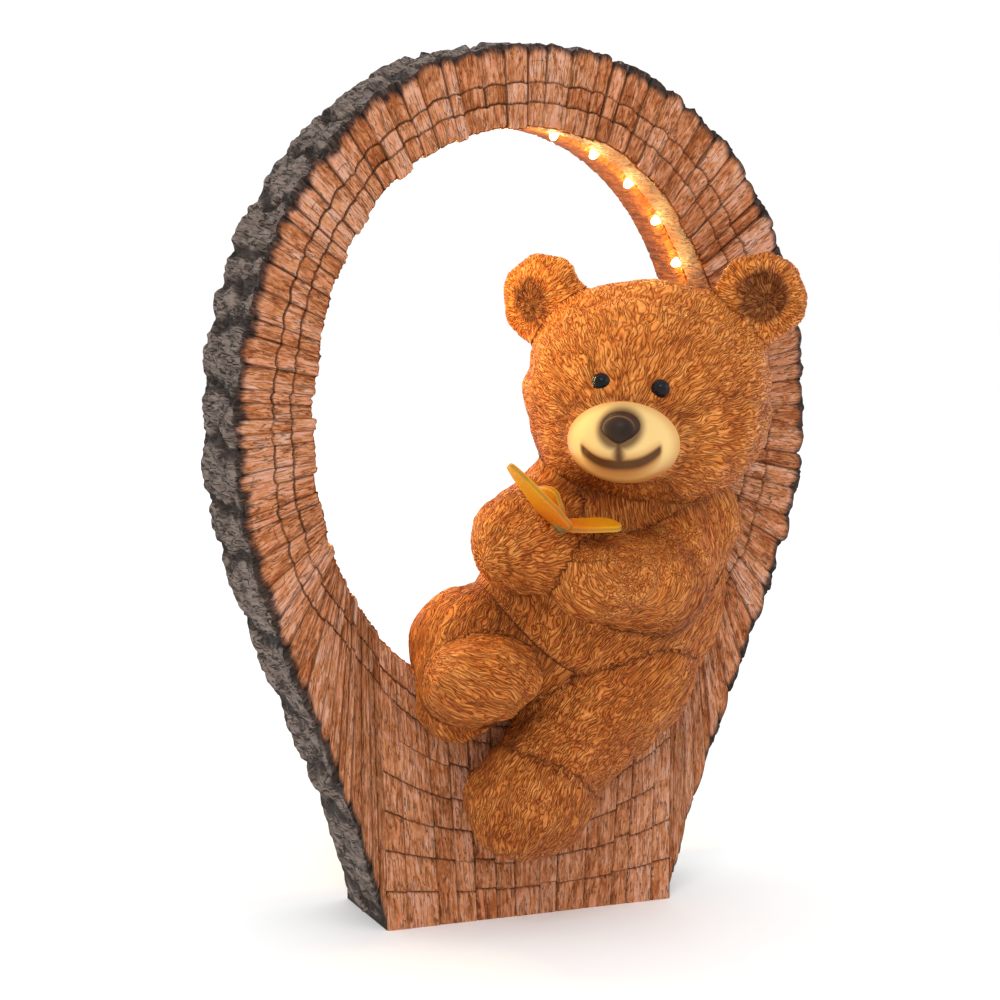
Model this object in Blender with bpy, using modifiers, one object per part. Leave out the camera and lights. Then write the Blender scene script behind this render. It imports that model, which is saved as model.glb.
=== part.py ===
"""A solar garden statue: a bear sits in a slice of log that is cut through by a tall oval opening,
with a string of small lamps let into the opening's wall and a solar panel on the back.

Metres, +Z up. The front faces -Y. The origin is the middle of the flat underside.
"""

import math
from dataclasses import dataclass

import bmesh
import bpy
import numpy as np
from mathutils import Matrix, Vector, noise

# Log slice
LOG_HEIGHT = 0.400
LOG_WIDTH = 0.276
LOG_DEPTH = 0.0593
FOOT_WIDTH = 0.143
WIDEST_Z = 0.224
CROWN_POWER = 2.13
WAIST_EASE = 0.42

# Oval opening, with the wood that is left beside it, over it and under it
SIDE_THICKNESS = 0.0362
CROWN_THICKNESS = 0.0332
SILL_HEIGHT = 0.1036
OPENING_POWER = 2.12
OPENING_X = -0.0016
OPENING_WIDTH = LOG_WIDTH - 2 * SIDE_THICKNESS
OPENING_HEIGHT = LOG_HEIGHT - CROWN_THICKNESS - SILL_HEIGHT
OPENING_Z = SILL_HEIGHT + OPENING_HEIGHT / 2

# Carving of the log
FOOT_STATIONS = 10
ARCH_STATIONS = 88
RING_GROOVES = (0.0125, 0.0235)
RING_GROOVE_WIDTH = 0.0030
RING_GROOVE_DEPTH = 0.0013
RIB_STEP = 0.0011
RIB_ROUGHNESS = 0.00055
BAND_ROUGHNESS = 0.00066
RIM_STEP = 0.0013
BARK_RELIEF = 0.0044
BARK_SINK = 0.00154
BARK_ROW_SHARES = (0.12, 0.5, 0.88)
BARK_EDGE = 0.0030

# Cross-hatched cracks of the base
BASE_CRACK = 0.0022
BASE_CRACK_SINK = 0.00044
BASE_ROWS = 5
BASE_ROW_SLOPE = 0.0025
BASE_COLUMNS = 8
BASE_COLUMN_FAN_SLOPE = 0.10
BASE_COLUMN_WANDER = 0.001
BASE_COLUMN_INSET = 0.0024
BASE_COLUMN_LOW = 0.006
BASE_COLUMN_OVERRUN = 0.004
BASE_GRID_MARGIN = 0.0125
BASE_GRID_WIDTH = FOOT_WIDTH - 2 * BASE_GRID_MARGIN
BASE_GRID_LOW = 0.010
BASE_GRID_HIGH = 0.080

# Channel and string of lamps
CHANNEL_WIDTH = 0.0090
CHANNEL_DEPTH = 0.0024
STRING_START = 31.0
STRING_END = 222.0
STRING_MARGIN = 4.0
WIRE_DIAMETER = 0.0016
WIRE_STRIDE = 10
LAMP_DIAMETER = 0.0046
LAMP_HEIGHT = 0.0036
LAMP_COUNT = 17
WIRE_LEAD = 0.010
WIRE_TAIL = 0.0145
CLEARANCE = 0.0003

# Solar panel on the back
PANEL_WIDTH = 0.062
PANEL_HEIGHT = 0.044
PANEL_THICKNESS = 0.0060
PANEL_RIM = 0.0040
PANEL_CELL_DEPTH = 0.0012
PANEL_Z = 0.050

# Bear
BEAR_HEIGHT = 0.276
BEAR_ASIDE = 0.0016
BEAR_DRAWN_HEIGHT = 276.0
BEAR_MELT = 3.2
BEAR_VOXEL = 2.6
BEAR_TRIANGLES = 4040
LOCK_LENGTH = 26.0
LOCK_WIDTH = 9.0
LOCK_DEPTH = 2.3
LOCK_SPREAD_SHARE = 0.75
LOCK_DROP_SLOPE = -0.25
HEAD_CENTRE = (52.0, -15.0, 144.0)
HEAD_TURN = 34.0

ARCH_LEFT = math.atan2(-OPENING_Z, -FOOT_WIDTH / 2 - OPENING_X)
ARCH_RIGHT = math.atan2(-OPENING_Z, FOOT_WIDTH / 2 - OPENING_X)
FRONT = -LOG_DEPTH / 2
BACK = LOG_DEPTH / 2
BEAR_UNIT = BEAR_HEIGHT / BEAR_DRAWN_HEIGHT


@dataclass(frozen=True)
class Ball:
    """An egg of the figure: centre and half sizes, turned about the upright and then about its own depth."""

    centre: tuple
    radii: tuple
    turn: float = 0.0
    lean: float = 0.0
    coat: str = "body"

    def frame(self):
        """Columns are the egg's own axes."""
        turn = Matrix.Rotation(math.radians(self.turn), 3, "Z")
        lean = Matrix.Rotation(math.radians(self.lean), 3, "Y")
        return np.array(turn @ lean)

    def distance(self, points):
        """About how far each point is outside the egg."""
        local = (points - np.array(self.centre)) @ self.frame()
        radii = np.array(self.radii)
        near = np.linalg.norm(local / radii, axis=1)
        steep = np.linalg.norm(local / radii**2, axis=1)
        return near * (near - 1.0) / np.maximum(steep, 1e-9)


@dataclass(frozen=True)
class Limb:
    """A tapered round limb from start to end."""

    start: tuple
    end: tuple
    start_radius: float
    end_radius: float
    coat: str = "limb"

    def distance(self, points):
        """How far each point is outside the limb."""
        start, along = np.array(self.start), np.array(self.end) - np.array(self.start)
        share = np.clip((points - start) @ along / (along @ along), 0.0, 1.0)
        radius = self.start_radius + (self.end_radius - self.start_radius) * share
        return np.linalg.norm(points - start - share[:, None] * along, axis=1) - radius


def head_point(right, forward, up):
    """A point of the head in the figure's frame, from its place beside, before and above its centre."""
    turn = math.radians(HEAD_TURN)
    x, y, z = HEAD_CENTRE
    return (
        x + right * math.cos(turn) - forward * math.sin(turn),
        y - right * math.sin(turn) - forward * math.cos(turn),
        z + up,
    )


# The figure is drawn in units of its height / 276, from the middle of the opening's sill at the front face.
FIGURE = (
    Ball(HEAD_CENTRE, (56.5, 49.0, 50.0), -HEAD_TURN, coat="face"),
    Ball(head_point(-21, 8, -12), (31, 36, 32), -HEAD_TURN, coat="face"),
    Ball(head_point(23, 8, -13), (33, 36, 33), -HEAD_TURN, coat="face"),
    Ball(head_point(-48.5, -7, 38), (20.5, 9.5, 20.5), -HEAD_TURN - 22, coat="ear"),
    Ball(head_point(52, -4, 38), (20.5, 9.5, 20.5), -HEAD_TURN + 20, coat="ear"),
    Ball(head_point(-2, 44, -22), (24.5, 22, 18), -HEAD_TURN, coat="bare"),
    Ball((50, 4, 84), (49, 33, 34)),
    Ball((38, 5, 43), (61, 41, 50)),
    Limb((46, -6, 8), (0, -20, -29), 31, 24),
    Ball((-12, -25, -43), (29, 27, 26), coat="foot"),
    Limb((10, 4, 18), (-30, 5, 27), 29, 24),
    Limb((-31, 3, 27), (-43, -14, 4), 23, 17),
    Ball((-36, -30, 16), (27, 20, 18), lean=-4, coat="foot"),
    Limb((10, 0, 92), (-12, -20, 79), 17, 20),
    Limb((-14, -25, 77), (-8, -35, 74), 21, 17),
    Limb((78, -5, 79), (51, -30, 57), 23, 20),
    Limb((49, -32, 56), (11, -48, 61), 20, 17),
)
EAR_DISHES = (
    Ball(head_point(-57, 7, 38), (12, 9, 13), -HEAD_TURN - 22),
    Ball(head_point(55, 9, 38), (12.5, 9, 13), -HEAD_TURN + 20),
)
NOSE = Ball(head_point(0, 64, -13), (8.6, 7.0, 7.6), -HEAD_TURN)
EYES = (
    Ball(head_point(-13.2, 48.0, 6.5), (3.8, 3.0, 3.8), -HEAD_TURN),
    Ball(head_point(13.8, 48.0, 4.0), (3.8, 3.0, 3.8), -HEAD_TURN),
)

# Butterfly on the paws, drawn in the figure's units
BUTTERFLY_AT = (-6, -50, 88)
BUTTERFLY_BODY = (3.0, 10.0, 3.0)
WING_THICKNESS = 2.8
WING_OVERRUN_SHARE = 0.04
WING_ROOT_SHARE = 0.72
WINGS = (
    ((-24, 27), 21, 0),
    ((-8, 13), 14, 13),
    ((27, -1), 19, 0),
)
WING_POINTS = 14


def clear_scene():
    """Starts from an empty file."""
    for item in list(bpy.data.objects):
        bpy.data.objects.remove(item, do_unlink=True)


def new_collection(name):
    """A collection linked to the scene."""
    collection = bpy.data.collections.new(name)
    bpy.context.scene.collection.children.link(collection)
    return collection


def new_material(name, colour, roughness, metallic=0.0, glow=0.0):
    """A Principled material of one colour."""
    material = bpy.data.materials.new(name)
    material.use_nodes = True
    shader = material.node_tree.nodes["Principled BSDF"]
    shader.inputs["Base Color"].default_value = (*colour, 1.0)
    shader.inputs["Roughness"].default_value = roughness
    shader.inputs["Metallic"].default_value = metallic
    shader.inputs["Emission Color"].default_value = (*colour, 1.0)
    shader.inputs["Emission Strength"].default_value = glow
    material.diffuse_color = (*colour, 1.0)
    return material


def object_from(name, mesh, collection, *materials):
    """An object of this mesh, linked to the collection."""
    for material in materials:
        mesh.materials.append(material)
    item = bpy.data.objects.new(name, mesh)
    collection.objects.link(item)
    return item


def object_from_bmesh(name, shape, collection, *materials):
    """An object of the bmesh, which is freed."""
    mesh = bpy.data.meshes.new(name)
    shape.to_mesh(mesh)
    shape.free()
    return object_from(name, mesh, collection, *materials)


def as_helper(item):
    """Marks a cutter, so that it is drawn as wires and never rendered."""
    item.hide_render = True
    item.display_type = "WIRE"
    return item


def apply_modifiers(item):
    """Replaces the object's mesh by its evaluated one."""
    bpy.context.view_layer.update()
    graph = bpy.context.evaluated_depsgraph_get()
    mesh = bpy.data.meshes.new_from_object(item.evaluated_get(graph))
    item.modifiers.clear()
    item.data = mesh
    return item


def boolean(item, other, operation):
    """Joins or cuts the object with another closed one, and keeps the other's materials."""
    modifier = item.modifiers.new(operation.title(), "BOOLEAN")
    modifier.operation = operation
    modifier.solver = "MANIFOLD"
    modifier.object = other
    return modifier


def half_width(z):
    """Half the log slice's width at each height."""
    z = np.asarray(z, float)
    rise = np.clip((z - WIDEST_Z) / (LOG_HEIGHT - WIDEST_Z), 0.0, 1.0)
    crown = LOG_WIDTH / 2 * (1.0 - rise**CROWN_POWER) ** (1.0 / CROWN_POWER)
    fall = np.clip((WIDEST_Z - z) / WIDEST_Z, 0.0, 1.0) ** 2
    drop = fall / (WAIST_EASE + (1.0 - WAIST_EASE) * fall)
    return np.where(z > WIDEST_Z, crown, LOG_WIDTH / 2 - (LOG_WIDTH - FOOT_WIDTH) / 2 * drop)


def outline_radius(angle):
    """How far the log's outline lies from the opening's centre in this direction."""
    across, up = math.cos(angle), math.sin(angle)
    near, far = 0.0, LOG_WIDTH + LOG_HEIGHT
    for _ in range(50):
        middle = (near + far) / 2
        z = OPENING_Z + middle * up
        inside = 0.0 <= z <= LOG_HEIGHT and abs(OPENING_X + middle * across) <= half_width(z)
        near, far = (middle, far) if inside else (near, middle)
    return near


def opening_radius(angle):
    """How far the opening's edge lies from its centre in this direction."""
    across = abs(math.cos(angle)) * 2 / OPENING_WIDTH
    up = abs(math.sin(angle)) * 2 / OPENING_HEIGHT
    return (across**OPENING_POWER + up**OPENING_POWER) ** (-1.0 / OPENING_POWER)


def station_angles():
    """Directions of the log's cross-sections, with one on each corner of the foot."""
    foot = np.linspace(ARCH_LEFT, ARCH_RIGHT, FOOT_STATIONS, endpoint=False)
    arch = np.linspace(ARCH_RIGHT, ARCH_LEFT + 2 * math.pi, ARCH_STATIONS, endpoint=False)
    return [*foot, *arch]


def in_string(angle):
    """Whether the lamp channel runs past this direction."""
    degrees = math.degrees(angle) % 360.0
    return STRING_START - STRING_MARGIN <= degrees <= STRING_END + STRING_MARGIN


def rough(station, row):
    """A number from -1 to 1 that belongs to this station and row."""
    return math.sin(station * 12.9898 + row * 78.233 + math.sin(station * 4.1 + row) * 3.0)


def section(index, angle):
    """One cross-section of the log as (distance from the opening's centre, depth) pairs, front rim first."""
    inner, outer = opening_radius(angle), outline_radius(angle)
    in_foot = index <= FOOT_STATIONS
    rib = RIB_STEP * (index % 2) + RIB_ROUGHNESS * (1.0 + rough(index, 1))
    inner += RIM_STEP * rough(index // 2, 2)
    edge = 0.0 if in_foot else BARK_EDGE / 2 * (1.0 + rough(index // 2, 3))
    rows = [(inner, FRONT + rib)]
    half = RING_GROOVE_WIDTH / 2
    for number, offset in enumerate(RING_GROOVES):
        step = rib + BAND_ROUGHNESS * rough(index, 4 + number)
        rows.append((inner + offset - half, FRONT + step))
        rows.append((inner + offset, FRONT + step + RING_GROOVE_DEPTH))
        rows.append((inner + offset + half, FRONT + step))
    rows.append((outer - edge, FRONT + rib))
    for number, share in enumerate(BARK_ROW_SHARES):
        lump = (rough(index // 3, 7 + number) + rough(index, 9 + number)) / 2
        swell = 0.0 if in_foot else BARK_RELIEF * lump - BARK_SINK
        rows.append((outer + swell, FRONT + LOG_DEPTH * share))
    back_edge = 0.0 if in_foot else BARK_EDGE / 2 * (1.0 + rough(index // 2, 12))
    rows.append((outer - back_edge, BACK))
    rows.append((inner, BACK))
    depth = CHANNEL_DEPTH if in_string(angle) else 0.0
    floor = opening_radius(angle) + depth if depth else inner
    rows.append((inner, CHANNEL_WIDTH / 2))
    rows.append((floor, CHANNEL_WIDTH / 2 - CHANNEL_DEPTH / 2))
    rows.append((floor, -CHANNEL_WIDTH / 2 + CHANNEL_DEPTH / 2))
    rows.append((inner, -CHANNEL_WIDTH / 2))
    return rows


def polar(angle, radius, depth):
    """A point from its direction and distance about the opening's centre and its depth."""
    return Vector((OPENING_X + radius * math.cos(angle), depth, OPENING_Z + radius * math.sin(angle)))


def log_slice(collection, wood, bark):
    """The log slice as a loft of its cross-sections round the opening."""
    shape = bmesh.new()
    loops = []
    for index, angle in enumerate(station_angles()):
        loops.append([shape.verts.new(polar(angle, *row)) for row in section(index, angle)])
    first_bark_row = len(RING_GROOVES) * 3 + 1
    bark_rows = range(first_bark_row, first_bark_row + len(BARK_ROW_SHARES) + 1)
    for index, loop in enumerate(loops):
        following = loops[(index + 1) % len(loops)]
        for row, vertex in enumerate(loop):
            after = (row + 1) % len(loop)
            face = shape.faces.new((vertex, loop[after], following[after], following[row]))
            face.material_index = int(row in bark_rows)
    bmesh.ops.triangulate(shape, faces=shape.faces[:])
    bmesh.ops.recalc_face_normals(shape, faces=shape.faces[:])
    return object_from_bmesh("log_slice", shape, collection, wood, bark)


def crack_bars(name, collection, lines):
    """Square bars turned on edge, which cut a V along each (start, end) line."""
    shape = bmesh.new()
    for start, end in lines:
        along = Vector(end) - Vector(start)
        place = Matrix.Translation((Vector(start) + Vector(end)) / 2)
        turn = along.to_track_quat("Z", "Y").to_matrix().to_4x4() @ Matrix.Rotation(math.radians(45), 4, "Z")
        size = Matrix.Diagonal((BASE_CRACK, BASE_CRACK, along.length, 1.0))
        bmesh.ops.create_cube(shape, size=1.0, matrix=place @ turn @ size)
    return as_helper(object_from_bmesh(name, shape, collection))


def base_cracks(collection):
    """The cross-hatched cracks of the front of the base, as two cutters."""
    depth = FRONT + BASE_CRACK_SINK
    rows, columns = [], []
    for number in range(BASE_ROWS):
        z = BASE_GRID_LOW + (BASE_GRID_HIGH - BASE_GRID_LOW) * number / (BASE_ROWS - 1)
        slope = BASE_ROW_SLOPE * rough(number, 20)
        reach = BASE_GRID_WIDTH / 2
        rows.append(((-reach, depth, z - slope), (reach, depth, z + slope)))
    for number in range(BASE_COLUMNS):
        x = (BASE_GRID_WIDTH - 2 * BASE_COLUMN_INSET) * (number / (BASE_COLUMNS - 1) - 0.5)
        lean = BASE_COLUMN_FAN_SLOPE * x + BASE_COLUMN_WANDER * rough(number, 21)
        columns.append(((x, depth, BASE_COLUMN_LOW), (x + lean, depth, BASE_GRID_HIGH + BASE_COLUMN_OVERRUN)))
    return crack_bars("crack_rows", collection, rows), crack_bars("crack_columns", collection, columns)


def melted_distance(points):
    """About how far each point is outside the bear, with its parts run together in soft creases."""
    parts = np.stack([part.distance(points) for part in FIGURE])
    nearest = parts.min(axis=0)
    joined = nearest - BEAR_MELT * np.log(np.exp((nearest - parts) / BEAR_MELT).sum(axis=0))
    for dish in EAR_DISHES:
        joined = np.maximum(joined, -dish.distance(points))
    return joined


def slope_of(field, points):
    """The field's unit gradient."""
    step = 0.05
    slope = np.empty_like(points)
    for axis in range(3):
        shift = np.zeros(3)
        shift[axis] = step
        slope[:, axis] = field(points + shift) - field(points - shift)
    return slope / np.maximum(np.linalg.norm(slope, axis=1), 1e-9)[:, None]


def lock_coordinates(points):
    """Coordinates stretched along the fur, in lengths and widths of a lock, for each point of the bear."""
    owner = np.stack([part.distance(points) for part in FIGURE]).argmin(axis=0)
    result = np.zeros_like(points)
    for number, part in enumerate(FIGURE):
        mine = owner == number
        if part.coat == "face":
            centre = np.array(HEAD_CENTRE)
            axis = np.array(head_point(0, 1, LOCK_DROP_SLOPE)) - centre
        elif isinstance(part, Limb):
            centre, axis = np.array(part.start), np.array(part.end) - np.array(part.start)
        else:
            centre, axis = np.array(part.centre), np.array((0.0, 0.0, -1.0))
        axis = axis / np.linalg.norm(axis)
        offset = points[mine] - centre
        along = offset @ axis
        spoke = offset - along[:, None] * axis
        reach = np.linalg.norm(spoke, axis=1)
        if part.coat == "face":
            span = np.linalg.norm(offset, axis=1)
            tilt = np.arctan2(reach, along)
            spoke = spoke / np.maximum(reach, 1e-6)[:, None] * (span * LOCK_SPREAD_SHARE)[:, None]
            along = tilt * span
        result[mine] = spoke / LOCK_WIDTH + along[:, None] * axis / LOCK_LENGTH
    return result, owner


def bear_surface():
    """The bear's skin in figure units, as an evenly meshed blank drawn onto the melted form."""
    shape = bmesh.new()
    for part in FIGURE:
        if isinstance(part, Ball):
            balls = [(part.centre, part.radii, Matrix(part.frame().tolist()))]
        else:
            steps = np.linspace(0.0, 1.0, 5)
            spots = [np.array(part.start) * (1 - s) + np.array(part.end) * s for s in steps]
            sizes = [part.start_radius * (1 - s) + part.end_radius * s for s in steps]
            balls = [(spot, (size,) * 3, Matrix.Identity(3)) for spot, size in zip(spots, sizes)]
        for centre, radii, frame in balls:
            place = Matrix.Translation(Vector(centre)) @ frame.to_4x4() @ Matrix.Diagonal((*radii, 1.0))
            bmesh.ops.create_uvsphere(shape, u_segments=32, v_segments=20, radius=1.0, matrix=place)
    mesh = bpy.data.meshes.new("bear_blank")
    shape.to_mesh(mesh)
    shape.free()
    return mesh


def bear(collection, fur):
    """The bear, cast in one with the log: blank, fusing, carved locks, and a lighter mesh."""
    item = object_from("bear_form", bear_surface(), collection, fur)
    remesh = item.modifiers.new("Fuse", "REMESH")
    remesh.mode = "VOXEL"
    remesh.voxel_size = BEAR_VOXEL
    apply_modifiers(item)
    mesh = item.data
    points = np.empty(len(mesh.vertices) * 3)
    mesh.vertices.foreach_get("co", points)
    points = points.reshape(-1, 3)
    for _ in range(6):
        points = points - melted_distance(points)[:, None] * slope_of(melted_distance, points) * 0.9
    outward = slope_of(melted_distance, points)
    places, owner = lock_coordinates(points)
    furry = np.array([part.coat != "bare" for part in FIGURE])[owner]
    locks = np.array([noise.noise(Vector(place)) for place in places]) * furry
    points = points + (LOCK_DEPTH * locks)[:, None] * outward
    mesh.vertices.foreach_set("co", points.reshape(-1))
    mesh.update()
    thin = item.modifiers.new("Lighten", "DECIMATE")
    thin.ratio = BEAR_TRIANGLES / (2.0 * len(mesh.polygons))
    apply_modifiers(item)
    item.data.transform(figure_matrix())
    return item


def figure_matrix():
    """From the figure's units to the statue's metres, on the middle of the opening's sill."""
    sill = Vector((OPENING_X + BEAR_ASIDE, FRONT, OPENING_Z - OPENING_HEIGHT / 2))
    return Matrix.Translation(sill) @ Matrix.Scale(BEAR_UNIT, 4)


def ball_object(name, part, collection, material):
    """A small egg of the figure, such as the nose, in the statue's metres."""
    shape = bmesh.new()
    place = Matrix.Translation(part.centre) @ Matrix(part.frame().tolist()).to_4x4()
    place = figure_matrix() @ place @ Matrix.Diagonal((*part.radii, 1.0))
    bmesh.ops.create_uvsphere(shape, u_segments=12, v_segments=8, radius=1.0, matrix=place)
    return object_from_bmesh(name, shape, collection, material)


def wing_object(name, tip, chord, back, collection, material):
    """One wing: a petal from the body to its tip, its chord along Y."""
    span = math.hypot(*tip)
    across, up = tip[0] / span, tip[1] / span
    shape = bmesh.new()
    sides = []
    for side in (-0.5, 0.5):
        ring = []
        for number in range(WING_POINTS):
            turn = 2 * math.pi * number / WING_POINTS
            out = span * (0.5 - (0.5 + WING_OVERRUN_SHARE) * math.cos(turn))
            width = chord * (WING_ROOT_SHARE + (1.0 - WING_ROOT_SHARE) * out / span)
            deep = back + width / 2 * math.sin(turn)
            lift = side * WING_THICKNESS
            place = Vector(BUTTERFLY_AT) + Vector((across * out - up * lift, deep, up * out + across * lift))
            ring.append(shape.verts.new(figure_matrix() @ place))
        sides.append(ring)
    shape.faces.new(sides[0])
    shape.faces.new(reversed(sides[1]))
    for number in range(WING_POINTS):
        after = (number + 1) % WING_POINTS
        shape.faces.new((sides[0][after], sides[0][number], sides[1][number], sides[1][after]))
    bmesh.ops.recalc_face_normals(shape, faces=shape.faces[:])
    return object_from_bmesh(name, shape, collection, material)


def statue(parts, helpers):
    """The casting: log slice, bear and butterfly in one piece."""
    wood = new_material("painted wood grain", (0.43, 0.19, 0.10), 0.65)
    bark = new_material("painted bark", (0.06, 0.05, 0.05), 0.8)
    fur = new_material("painted fur", (0.52, 0.19, 0.05), 0.65)
    gloss = new_material("gloss black paint", (0.012, 0.010, 0.009), 0.15)
    yellow = new_material("butterfly yellow", (0.65, 0.36, 0.03), 0.5)
    casting = log_slice(parts, wood, bark)
    casting.name = "statue"
    for cutter in base_cracks(helpers):
        boolean(casting, cutter, "DIFFERENCE")
    form = as_helper(bear(helpers, fur))
    extras = [ball_object("nose_form", NOSE, helpers, gloss)]
    for number, eye in enumerate(EYES):
        extras.append(ball_object(f"eye_form_{number + 1}", eye, helpers, gloss))
    body = Ball(BUTTERFLY_AT, BUTTERFLY_BODY)
    extras.append(ball_object("butterfly_body_form", body, helpers, yellow))
    for number, wing in enumerate(WINGS):
        extras.append(wing_object(f"wing_form_{number + 1}", *wing, helpers, yellow))
    for extra in extras:
        boolean(form, as_helper(extra), "UNION")
    boolean(casting, form, "UNION")
    return casting


def channel_floor(angle):
    """The middle of the lamp channel's floor in this direction."""
    return polar(angle, opening_radius(angle) + CHANNEL_DEPTH, 0.0)


def above_floor(angle, lift):
    """The point that stands this far off the lamp channel's floor, and the direction that it stands in."""
    step = math.radians(0.2)
    along = (channel_floor(angle + step) - channel_floor(angle - step)).normalized()
    inward = Vector((-along.z, 0.0, along.x))
    return channel_floor(angle) + lift * inward, inward


def string_places():
    """Directions of close points along the lamp channel, and each one's distance along it."""
    angles = np.radians(np.linspace(STRING_START, STRING_END, 400))
    points = np.array([channel_floor(angle) for angle in angles])
    steps = np.linalg.norm(np.diff(points, axis=0), axis=1)
    return angles, np.concatenate(([0.0], np.cumsum(steps)))


def lamp_wire(collection):
    """The wire that lies in the channel and carries the lamps."""
    copper = new_material("lamp wire", (0.42, 0.24, 0.10), 0.4, 0.8)
    curve = bpy.data.curves.new("lamp_wire", "CURVE")
    curve.dimensions = "3D"
    curve.bevel_depth = WIRE_DIAMETER / 2
    curve.bevel_resolution = 1
    curve.use_fill_caps = True
    path = curve.splines.new("POLY")
    angles, _ = string_places()
    chosen = angles[::WIRE_STRIDE]
    path.points.add(len(chosen) - 1)
    for point, angle in zip(path.points, chosen):
        point.co = (*above_floor(angle, CLEARANCE + WIRE_DIAMETER / 2)[0], 1.0)
    curve.materials.append(copper)
    item = bpy.data.objects.new("lamp_wire", curve)
    collection.objects.link(item)
    return item


def lamps(collection):
    """The lamps along the wire, each a flat-backed bead of clear resin."""
    glow = new_material("lit lamp", (1.0, 0.72, 0.30), 0.3, 0.0, 4.0)
    shape = bmesh.new()
    size = Matrix.Diagonal((LAMP_DIAMETER / 2, LAMP_DIAMETER / 2, LAMP_HEIGHT, 1.0))
    bmesh.ops.create_uvsphere(shape, u_segments=8, v_segments=4, radius=1.0, matrix=size)
    cut = bmesh.ops.bisect_plane(shape, geom=[*shape.verts, *shape.edges, *shape.faces], plane_co=(0, 0, 0),
                                 plane_no=(0, 0, -1), clear_outer=True)
    rim = [item for item in cut["geom_cut"] if isinstance(item, bmesh.types.BMEdge)]
    bmesh.ops.contextual_create(shape, geom=rim)
    bmesh.ops.recalc_face_normals(shape, faces=shape.faces[:])
    mesh = bpy.data.meshes.new("lamp")
    shape.to_mesh(mesh)
    shape.free()
    mesh.materials.append(glow)
    angles, run = string_places()
    made = []
    for spot in np.linspace(WIRE_LEAD, run[-1] - WIRE_TAIL, LAMP_COUNT):
        angle = float(np.interp(spot, run, angles))
        place, inward = above_floor(angle, 2 * CLEARANCE + WIRE_DIAMETER)
        item = bpy.data.objects.new(f"lamp_{len(made) + 1:02d}", mesh)
        item.location = place
        item.rotation_euler = inward.to_track_quat("Z", "Y").to_euler()
        collection.objects.link(item)
        made.append(item)
    return made


def solar_panel(collection):
    """The framed solar panel on the back of the base."""
    dark = new_material("solar cell", (0.010, 0.014, 0.035), 0.2)
    shape = bmesh.new()
    size = Matrix.Diagonal((PANEL_WIDTH, PANEL_THICKNESS, PANEL_HEIGHT, 1.0))
    bmesh.ops.create_cube(shape, size=1.0, matrix=size)
    back = max(shape.faces, key=lambda face: face.calc_center_median().y)
    bmesh.ops.inset_region(shape, faces=[back], thickness=PANEL_RIM)
    bmesh.ops.translate(shape, verts=back.verts[:], vec=(0.0, -PANEL_CELL_DEPTH, 0.0))
    item = object_from_bmesh("solar_panel", shape, collection, dark)
    item.location = (0.0, BACK + CLEARANCE + PANEL_THICKNESS / 2, PANEL_Z)
    return item


def main():
    """Models the statue."""
    clear_scene()
    parts = new_collection("solar_bear_statue")
    helpers = new_collection("cutters_and_forms")
    statue(parts, helpers)
    lamp_wire(parts)
    lamps(parts)
    solar_panel(parts)
    bpy.context.view_layer.update()


main()
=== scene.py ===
"""Dresses the solar garden statue: a carved bear in a slice of log, its string of lit lamps and its panel.

The sizes are the model's own, in metres; the bear is drawn in its own millimetres from the opening's sill.
"""

import itertools
import logging
import math
from dataclasses import dataclass, field
from enum import Enum

import bmesh
import bpy
import numpy as np
from mathutils import Matrix, Vector


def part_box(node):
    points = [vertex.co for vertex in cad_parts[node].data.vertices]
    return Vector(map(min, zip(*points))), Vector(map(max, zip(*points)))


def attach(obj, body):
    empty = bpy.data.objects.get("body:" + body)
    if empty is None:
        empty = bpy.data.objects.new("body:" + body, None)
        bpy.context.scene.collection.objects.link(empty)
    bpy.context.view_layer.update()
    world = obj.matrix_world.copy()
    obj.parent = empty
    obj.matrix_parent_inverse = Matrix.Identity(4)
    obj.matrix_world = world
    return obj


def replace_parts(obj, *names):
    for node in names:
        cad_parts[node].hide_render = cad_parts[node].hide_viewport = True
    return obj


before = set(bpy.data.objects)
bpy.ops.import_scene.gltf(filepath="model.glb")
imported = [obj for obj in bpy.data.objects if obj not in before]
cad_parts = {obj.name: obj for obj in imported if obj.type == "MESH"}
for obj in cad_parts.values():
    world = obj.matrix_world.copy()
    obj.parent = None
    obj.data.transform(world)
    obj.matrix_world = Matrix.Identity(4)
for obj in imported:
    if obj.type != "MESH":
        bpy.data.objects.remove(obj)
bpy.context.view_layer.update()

REPORT = logging.getLogger("statue")
BODY = "root"
STATUE = "statue"

Point = tuple[float, float, float]
Colour = tuple[float, float, float]
Marks = dict[str, np.ndarray]
Socket = bpy.types.NodeSocket
Value = bpy.types.NodeSocket | float | Colour

GRADIENTS = np.array(
    [p for p in itertools.product((-1.0, 0.0, 1.0), repeat=3) if np.count_nonzero(p) == 2]
)
HASH_STEPS = np.array((73856093, 19349663, 83492791))
HASH_SEED = 15485863
HASH_MIX = 1274126177
NOISE_GAIN = 1.4
MILLIMETRES = 1000.0
MILLIMETRE = 0.001
BISECTIONS = 40


def paint(red: int, green: int, blue: int) -> Colour:
    """A paint mixed by its screen values.

    Args:
        red: Red from 0 to 255.
        green: Green from 0 to 255.
        blue: Blue from 0 to 255.

    Returns:
        The colour in linear light.
    """
    return tuple((value / 255.0) ** 2.2 for value in (red, green, blue))


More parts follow.
